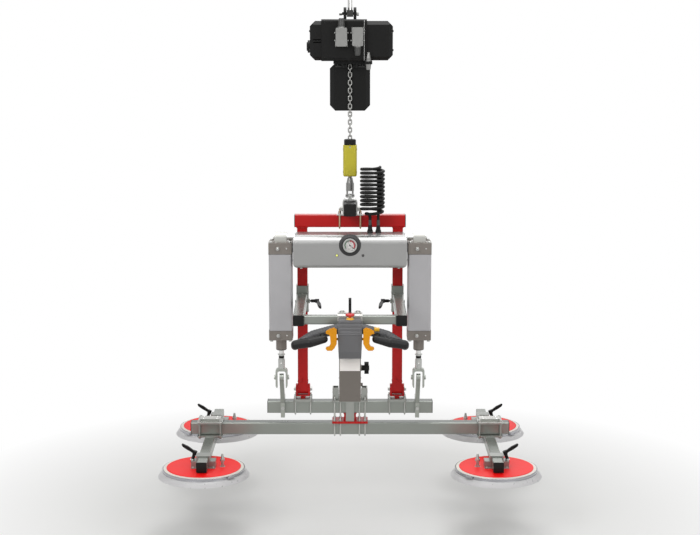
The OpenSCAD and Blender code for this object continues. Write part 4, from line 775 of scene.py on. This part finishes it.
# Gauge, lamps and housing
def sector(bm, r0, r1, a0, a1, lift=0.3):
    """Flat arc on the dial; angles run clockwise from the top."""
    count = max(2, round(abs(a1 - a0) / 4))
    ring = [radians(a0 + (a1 - a0) * k / count) for k in range(count + 1)]
    inner, outer = ([bm.verts.new(at(r * sin(a), DIAL_Y - lift, GAUGE_Z + r * cos(a)))
                     for a in ring] for r in (r0, r1))
    for k in range(count):
        bm.faces.new([inner[k], inner[k + 1], outer[k + 1], outer[k]])


def gauge_detail():
    for name, mat, r0, a0, a1 in (("dial_red_arc", dial_red, 18, -6, 128),
                                  ("dial_green_arc", dial_green, 21, -120, -10)):
        bm = bmesh.new()
        sector(bm, r0, 25.8, a0, a1)
        piece(name, bm, "frame", mat)

    # Graduations, with every fifth one longer and bolder
    bm = bmesh.new()
    for k in range(51):
        a = -130 + 260 * k / 50
        start, half = (22.5, 0.5) if k % 5 else (19.5, 1.1)
        sector(bm, start, 26.0, a - half, a + half, 0.5)
    sector(bm, 25.8, 26.5, -130, 130, 0.5)
    piece("dial_marks", bm, "frame", dial_ink)

    # Turned lip of the bezel and sloping skirt of the rubber ring; the skirt's wide dark outer slope
    # over the housing is painted shade round the gauge
    bm = bmesh.new()
    lathe(bm, stand((0, HOUSING_Y0 - 14, GAUGE_Z), FRONT), [
        (34.2, -7), (34.5, -2), (33.8, 1.2), (32.4, 2.0), (30.4, 1.9), (28.0, 0.6), (26.9, -1)], 64)
    piece("gauge_bezel", bm, "frame", chrome)
    bm = bmesh.new()
    lathe(bm, stand((0, HOUSING_Y0 - 6, GAUGE_Z), FRONT), [
        (53.0, -5.9), (52.0, -4.4), (47.0, -2.6), (43.0, -0.8), (41.2, 1.0), (38.8, 2.2),
        (36.6, 1.6), (35.0, -0.5)], 64)
    piece("gauge_gasket_and_shade", bm, "frame", ring_rubber)


def lamp_detail():
    bm = bmesh.new()
    for x in (LAMP_LEFT, LAMP_RIGHT):
        lathe(bm, stand((x, HOUSING_Y0, LAMP_Z), FRONT), [
            (6.6, 0), (6.6, 1.2), (5.8, 2.0), (4.8, 2.2), (4.6, 1.0)], 24)
    piece("lamp_rings", bm, "frame", dark_steel)
    for side, x, mat in (("left", LAMP_LEFT, lamp_lit), ("right", LAMP_RIGHT, lamp_dark)):
        bm = bmesh.new()
        lathe(bm, stand((x, HOUSING_Y0 - 3, LAMP_Z), FRONT), [
            (4.4, -0.2), (4.0, 1.0), (2.8, 2.0), (1.2, 2.5), (0, 2.6)], 20)
        piece(f"lamp_lens_{side}", bm, "frame", mat)


def housing_detail():
    # Bolts of the underside, screws of the ends and of the back
    bm = bmesh.new()
    for x, y in product((-UPRIGHT_X, UPRIGHT_X), (-205, -120)):
        hex_bolt(bm, stand((x, y, HOUSING_Z0), DOWN), 10, 4, 1.2)
    for side, (y, z) in product(ENDS, ((-205, 1014), (-105, 1014), (-105, 1100))):
        dome_screw(bm, stand((side * HOUSING_HALF, y, z), (side, 0, 0)), 4.2, 2.2)
    for x, z in product((-190, -60, 60, 190), (996, 1116)):
        dome_screw(bm, stand((x, HOUSING_Y1, z), BACK), 4.2, 2.2)
    piece("housing_screws", bm, "frame", chrome)

    # Folded seam of the back cover
    bm = bmesh.new()
    corners = [(x, HOUSING_Y1, z) for x, z in ((-257, 987), (257, 987), (257, 1125), (-257, 1125))]
    sweep(bm, resample(corners, 12, True), 1.1, 8, True)
    piece("housing_seam", bm, "frame", housing_paint)


# Cylinders
def cylinder_detail(side, sign):
    x0, half = sign * CYLINDER_X, BARREL_W / 2
    front = CYLINDER_Y - half
    # Socket screws of the end blocks, and ports and plugs on their fronts
    bm = bmesh.new()
    for sx, sy in product(ENDS, ENDS):
        x, y = x0 + sx * (half - 12), CYLINDER_Y + sy * (half - 12)
        cap_screw(bm, stand((x, y, BLOCK_HIGH[1])), 7.5, 7)
        cap_screw(bm, stand((x, y, BLOCK_LOW[0]), DOWN), 7.5, 7)
    for z in (sum(BLOCK_LOW) / 2, sum(BLOCK_HIGH) / 2):
        lathe(bm, stand((x0 - PORT_X, front, z), FRONT), [(9.5, 0), (9.5, 3), (8.2, 4)], 6)
        lathe(bm, stand((x0 - PORT_X, front - 20, z), FRONT), [
            (5.6, -3), (5.6, 1.5), (4.4, 2.6), (2.2, 2.6), (2, 0), (0, 0)], 24)
        dome_screw(bm, stand((x0 + 30, front, z), FRONT), 3.6, 1.4)
    piece(f"cylinder_screws_{side}", bm, f"cylinder_{side[0]}", steel)

    # Seams between blocks and barrel, and the wiper in the gland
    bm = bmesh.new()
    long, short = half + 0.1, half - 3
    octagon = [(-short, -long), (short, -long), (long, -short), (long, short), (short, long),
               (-short, long), (-long, short), (-long, -short)]
    for z in (BLOCK_LOW[1], BLOCK_HIGH[0]):
        loop = [(x0 + x, CYLINDER_Y + y, z) for x, y in octagon]
        sweep(bm, resample(loop, 20, True), 0.55, 6, True)
    lathe(bm, stand((x0, CYLINDER_Y, GLAND_END), DOWN), [
        (24.5, 0), (24.5, 2.2), (22.5, 3.4), (16.2, 3.4), (15.0, 5.2), (13.6, 5.2), (13.2, 0)], 40)
    piece(f"cylinder_seals_{side}", bm, f"cylinder_{side[0]}", rubber)

    # Split pins, washers and grease nipple of the shackle
    bm = bmesh.new()
    for edge in ENDS:
        x = x0 + edge * 35
        bent = x + edge * 1.5
        sweep(bm, [(x, CYLINDER_Y - 3, SHACKLE_Z), (bent, CYLINDER_Y - 9, SHACKLE_Z - 2),
                   (bent, CYLINDER_Y - 13, SHACKLE_Z - 7)], 1.3, 8)
        lathe(bm, stand((x, CYLINDER_Y, SHACKLE_Z), (edge, 0, 0)), [
            (8, 0), (8, 0.8), (6.6, 1.4), (0, 1.4)], 28)
    lathe(bm, stand((x0, CYLINDER_Y - 16.5, 498), FRONT), [
        (3.4, 0), (3.4, 2.4), (2, 3), (2.4, 4.4), (1.2, 5.6), (0, 5.8)], 16)
    piece(f"shackle_pins_{side}", bm, f"rod_{side[0]}", chrome)


# Welds and caps
def weld_detail():
    bm = bmesh.new()
    for side in ENDS:
        post = (side * UPRIGHT_X, 0)
        weld(bm, square_loop("z", post, FRAME_W / 2 + 0.6, TOP_Z - 1.2))
        weld(bm, square_loop("z", post, FRAME_W / 2 + 0.1, TILT_Z + 40), 1.6)
    piece("frame_welds", bm, "frame", frame_paint)

    bm = bmesh.new()
    for level in (LOWER_Z - 1.4, BEAM_TOP + 11.4):
        weld(bm, square_loop("z", (0, 0), BEAM_W / 2 + 0.6, level), 2.6)
    base = LOWER_TOP + 15
    for x in (-UPRIGHT_X, UPRIGHT_X):
        weld(bm, [(x - 10, -20.5, base), (x + 10, -20.5, base), (x + 10, 20.5, base),
                  (x - 10, 20.5, base)], 2.2)
    piece("bracket_welds", bm, "tilt", frame_paint)

    bm = bmesh.new()
    for side in ENDS:
        weld(bm, square_loop("y", (side * CARRIER_X, CARRIER_Z), 25.2, -31.4), 2.6)
        weld(bm, square_loop("x", (CROSS_Y, CARRIER_Z), 20.4, side * (CARRIER_X - 26)), 2.4)
    piece("handle_welds", bm, "carrier", arm_skin)

    # Dark joint line and rims round each sleeve
    bm = bmesh.new()
    for side, (level, r) in product(ENDS, ((820, 0.9), (857.4, 0.8), (728.6, 0.8))):
        loop = square_loop("z", (side * UPRIGHT_X, 0), 30.1, level)
        sweep(bm, resample(loop, 10, True), r, 6, True)
    piece("sleeve_seams", bm, "carrier", cap_plastic)


def cap_detail():
    """Raised middles of the tube caps."""
    wide, narrow = TOP_W / 2, FRAME_W / 2
    frame_caps = [((s * (TOP_HALF + CAP_T), 0, TOP_Z + wide), (s, 0, 0), wide) for s in ENDS]
    frame_caps += [((0, s * (BALANCE_HALF + CAP_T), BALANCE_Z), (0, s, 0), wide) for s in ENDS]
    beam_caps = [((s * (half + CAP_T), 0, z + wide), (s, 0, 0), wide)
                 for half, z in ((BEAM_HALF, BEAM_Z), (LOWER_HALF, LOWER_Z)) for s in ENDS]
    handle_caps = [((s * CARRIER_X, CARRIER_END - CAP_T, CARRIER_Z), FRONT, narrow) for s in ENDS]
    left_caps, right_caps = ([((x, s * (ARM_END + CAP_T), ARM_Z), (0, s, 0), narrow) for s in ENDS]
                             for x in (-PAD_X, PAD_X))
    for name, body, places in (
            ("frame_cap_rims", "frame", frame_caps), ("beam_cap_rims", "tilt", beam_caps),
            ("handle_cap_rims", "carrier", handle_caps), ("arm_cap_rims_l", "arm_l", left_caps),
            ("arm_cap_rims_r", "arm_r", right_caps)):
        bm = bmesh.new()
        for point, axis, half in places:
            edge = half - 7
            square = [(-edge, -edge), (edge, -edge), (edge, edge), (-edge, edge)]
            prism(bm, stand(point, axis), square, -0.6, 0.45, 0.4)
        piece(name, bm, body, cap_plastic)


# Pads
def pad_detail(key, sx, sy):
    x0, y0, body = sx * PAD_X, sy * PAD_Y, f"cup_{key}"
    # Steps moulded into the lip
    bm = bmesh.new()
    hoop(bm, x0, y0, 15.2, BAND_R + 6, 4, 0.7)
    hoop(bm, x0, y0, 8.2, BAND_R + 12, 4, 0.7)
    piece(f"lip_steps_{key}", bm, body, lip_rubber, 60)

    # Folded edges of the band and the bolt that closes it
    bm = bmesh.new()
    hoop(bm, x0, y0, 24.9, BAND_R, 3, 0.9)
    hoop(bm, x0, y0, PAD_TOP - 4.9, BAND_R, 3, 0.9)
    turn = radians(-45 if sx * sy > 0 else -135)
    out = Vector((cos(turn), sin(turn), 0))
    side = Vector((-out.y, out.x, 0))
    hub = Vector((x0, y0, 31)) + out * (BAND_R + 5)
    for way in ENDS:
        hex_bolt(bm, stand(hub + side * way * 18, side * way), 7, 3, 0.8)
    piece(f"band_edges_{key}", bm, body, band_metal)

    # Raised edge of the red cover
    bm = bmesh.new()
    lathe(bm, stand((x0, y0, 0)), [
        (DISC_R + 0.3, 40.3), (DISC_R + 0.3, 42.1), (DISC_R - 0.6, 42.7), (DISC_R - 2.2, 42.7),
        (DISC_R - 3.0, 42.1)], 96)
    piece(f"cover_edge_{key}", bm, body, pad_red)

    # Bolts of the saddle and trim of the hose fitting
    bm = bmesh.new()
    for x, y in product((-48, 48), (-33, 33)):
        hex_bolt(bm, stand((x0 + x, y0 + y, 45.7)), 8, 3.4, 1.2)
    fitting = (x0 - sx * FITTING_X, y0)
    lathe(bm, stand((*fitting, PAD_TOP)), [(13, 0), (13, 1.4), (11, 2)], 28)
    lathe(bm, stand((*fitting, PAD_TOP + 18)), [
        (6.2, 0), (7.6, 1), (7.6, 3), (6.2, 4), (6.2, 6), (7.6, 7), (7.6, 9), (6.4, 10)], 24)
    piece(f"saddle_bolts_{key}", bm, body, steel)

    # Washers under the lever
    bm = bmesh.new()
    lean = radians(20)
    root = Vector((x0 + sx * 54, y0, 76))
    lathe(bm, stand(root, (-sx * sin(lean), 0, cos(lean))), [
        (5.2, 3.4), (10.5, 3.4), (10.5, 5.2), (5.2, 5.2)], 28)
    lathe(bm, stand(root), [(0, 0), (11.5, 0), (11.5, 1.7), (0, 1.7)], 28)
    piece(f"lever_washers_{key}", bm, body, chrome)


# Handle head
def head_detail():
    # Blank plate on the post
    front = CROSS_Y - POST_D / 2
    bm = bmesh.new()
    slab(bm, (-46.5, front - 1.0, 560), (46.5, front + 0.4, 627), 0.4)
    piece("blank_plate", bm, "head", label_film)

    # Its screws, the post's screws and the bolts of the head clamp
    bm = bmesh.new()
    for x, z in product((-42, 42), (564, 623)):
        dome_screw(bm, stand((x, front - 1.0, z), FRONT), 1.6, 0.8)
    for side in ENDS:
        for z in (440, 520):
            dome_screw(bm, stand((side * POST_W / 2, CROSS_Y, z), (side, 0, 0)), 4, 2)
        hex_bolt(bm, stand((side * 36, CROSS_Y, 829)), 14, 5, 1.4)
    piece("post_screws", bm, "head", chrome)

    # Raised bars of the brow and the joint lines of the tiller's cover
    bm = bmesh.new()
    for k in range(4):
        y, z, half = -665.2 + 6.5 * k, 751.5 + 15.5 * k, 47 - 1.5 * k
        sweep(bm, resample([(-half, y, z), (half, y, z)], 8), 1.5, 8)
    sweep(bm, [(-50, -668.4, 742), (50, -668.4, 742)], 1.0, 8)
    for side in ENDS:
        sweep(bm, [(side * 54.6, -666, 744), (side * 52.0, -655, 770), (side * 50.4, -644, 804)],
              1.2, 8)
    piece("brow_bars", bm, "head", tiller_plastic, 60)


GUARD = ((48, -624, 764), (170, -608, 729), (250, -640, 686))  # middle line of the right guard
GUARD_UP = Vector((0, -0.55, 0.84))


def square_to(along, way):
    """Direction nearest to way at right angles to along."""
    return (way - along * along.dot(way)).normalized()


def rib(bm, centre, along, up, r, lean, wire):
    """Bar across a guard of radius r; lean carries its two ends apart along the guard."""
    arc = [centre + (up * cos(t) + along.cross(up) * sin(t)) * (r - 0.4)
           + along * lean * sin(t) for t in (radians(d) for d in range(-75, 76, 15))]
    sweep(bm, arc, wire, 6)


def guard_detail():
    """Ribs over both guards, and the dark thumb buttons at their ends."""
    bm, buttons = bmesh.new(), bmesh.new()
    for side in ENDS:
        a, b, c = (Vector((side * x, y, z)) for x, y, z in GUARD)
        along = (b - a).normalized()
        for share in (0.3 + 0.1 * k for k in range(7)):
            rib(bm, a.lerp(b, share), along, GUARD_UP, 24 - 2 * share, 9, 2.4)
        along = (c - b).normalized()
        up = square_to(along, GUARD_UP)
        for share in (0.12 + 0.13 * k for k in range(3)):
            rib(bm, b.lerp(c, share), along, up, 22 - 3 * share, 0, 2.1)
        up = square_to(along, Vector((0, -0.75, 0.66)))
        prism(buttons, stand(b.lerp(c, 0.62) + up * 19.4, up),
              [(-12, -4), (12, -5), (5, 5), (-7, 6)], -3, 2.4, 1.0)
    piece("guard_ribs", bm, "head", wing_plastic, 60)
    piece("thumb_buttons", buttons, "head", cap_plastic)


# Pad arms and lock of the tilt
def arm_detail():
    for side, sign in SIDES.items():
        bm = bmesh.new()
        for x, y in product((-52, 52), (-44, 44)):
            spot = (sign * PAD_X + x, y, CLAMP_TOP)
            lathe(bm, stand(spot), [(11.5, 0), (11.5, 1.6), (8, 1.6)], 28)
        for y, x in product((-20, 20), (-34, 34)):
            dome_screw(bm, stand((sign * PAD_X + x, y, 182)), 4, 2)
        piece(f"clamp_washers_{side}", bm, f"arm_{side[0]}", chrome)


def lock_detail():
    bm = bmesh.new()
    for side, edge in product(ENDS, ENDS):
        lathe(bm, stand((side * 71.5 + edge * 15.5, 0, 318), (edge, 0, 0)), [
            (11, -0.3), (11, 0.6), (8.2, 0.6)], 28)
    piece("lock_rings", bm, "tilt", chrome)


# Floor, world and lamps
FLOOR_REACH = 40.0  # metres
FLOOR_Z = -300.0  # the lifter hangs: the tilted beam and the lowered hook need this room
PALE_FLOOR = "#DEDEDC"
FADE = (1.15, 2.3)  # metres from the middle over which the seen floor turns white
LAMPS = (  # name, place, size and power
    ("key lamp", (-2.6, -4.6, 1.4), 2.4, 95), ("fill lamp", (3.2, -4.2, 0.2), 2.6, 45),
    ("top lamp", (0.2, -0.6, 2.4), 2.6, 60), ("back lamp", (0.6, 4.2, 1.2), 2.6, 45))
LIT_POINT = (0, -100, 1050)


def floor():
    bm = bmesh.new()
    bmesh.ops.create_circle(bm, cap_ends=True, radius=FLOOR_REACH, segments=64)
    mesh = bpy.data.meshes.new("floor")
    bm.to_mesh(mesh)
    bm.free()
    obj = bpy.data.objects.new("floor", mesh)
    obj.location = at(0, 0, FLOOR_Z)
    bpy.context.scene.collection.objects.link(obj)
    mat = bpy.data.materials.new("pale floor")
    mat.use_nodes = True
    n = Nodes(mat.node_tree)
    where = n.place()
    away = n.add("VectorMath", {0: where}, operation="LENGTH").outputs["Value"]
    paths = n.add("LightPath").outputs
    seen = n.maths("MAXIMUM", paths["Is Camera Ray"], paths["Is Glossy Ray"])
    seen = n.maths("MAXIMUM", seen, paths["Is Transmission Ray"])
    colour = n.mix(n.noise(where, 3, 4), linear(PALE_FLOOR, 0.985), linear(PALE_FLOOR))
    ground = n.add("BsdfPrincipled", {"Base Color": colour, "Roughness": 0.35})
    white = n.add("Emission", {"Color": (1, 1, 1, 1), "Strength": 1.0})
    share = n.maths("MULTIPLY", n.spread(away, *FADE, 0, 1), seen)
    blend = n.add("MixShader", {0: share, 1: ground.outputs[0], 2: white.outputs[0]})
    n.add("OutputMaterial", {"Surface": blend.outputs[0]})
    mesh.materials.append(mat)


def studio():
    """White world that metal mirrors with a gradient, and four soft lamps."""
    scene = bpy.context.scene
    scene.view_settings.view_transform = "Standard"
    scene.world = bpy.data.worlds.new("studio")
    scene.world.use_nodes = True
    n = Nodes(scene.world.node_tree)
    paths = n.add("LightPath").outputs
    direction = n.add("TexCoord").outputs["Generated"]
    height = n.add("SeparateXYZ", {0: direction}).outputs["Z"]
    mirror = n.maths("ADD", n.spread(height, -0.4, 0.5, 0.45, 1.05),
                     n.spread(height, 0.5, 0.95, 0, 1.5))
    shown = n.maths("MAXIMUM", paths["Is Camera Ray"], paths["Is Transmission Ray"])
    level = n.maths("MULTIPLY", paths["Is Glossy Ray"], mirror)
    level = n.maths("MAXIMUM", level, shown)
    level = n.maths("MAXIMUM", level, 0.5)
    sky = n.add("Background", {"Color": (1, 1, 1, 1), "Strength": level})
    n.add("OutputWorld", {"Surface": sky.outputs[0]})
    for name, place, size, power in LAMPS:
        lamp = bpy.data.lights.new(name, "AREA")
        lamp.size = size
        lamp.energy = power
        obj = bpy.data.objects.new(name, lamp)
        obj.location = place
        obj.rotation_euler = (at(*LIT_POINT) - Vector(place)).to_track_quat("-Z", "Y").to_euler()
        scene.collection.objects.link(obj)


dress_plain()
dress_hoist()
dress_gauge()
dress_frame()
dress_cylinders()
dress_beams()
dress_arms()
dress_pads()
dress_handle()

hoist_detail()
connector_detail()
chain_detail()
cable()
gauge_detail()
lamp_detail()
housing_detail()
for side, sign in SIDES.items():
    cylinder_detail(side, sign)
weld_detail()
cap_detail()
for key, (sx, sy) in PADS.items():
    pad_detail(key, sx, sy)
head_detail()
guard_detail()
arm_detail()
lock_detail()

floor()
studio()
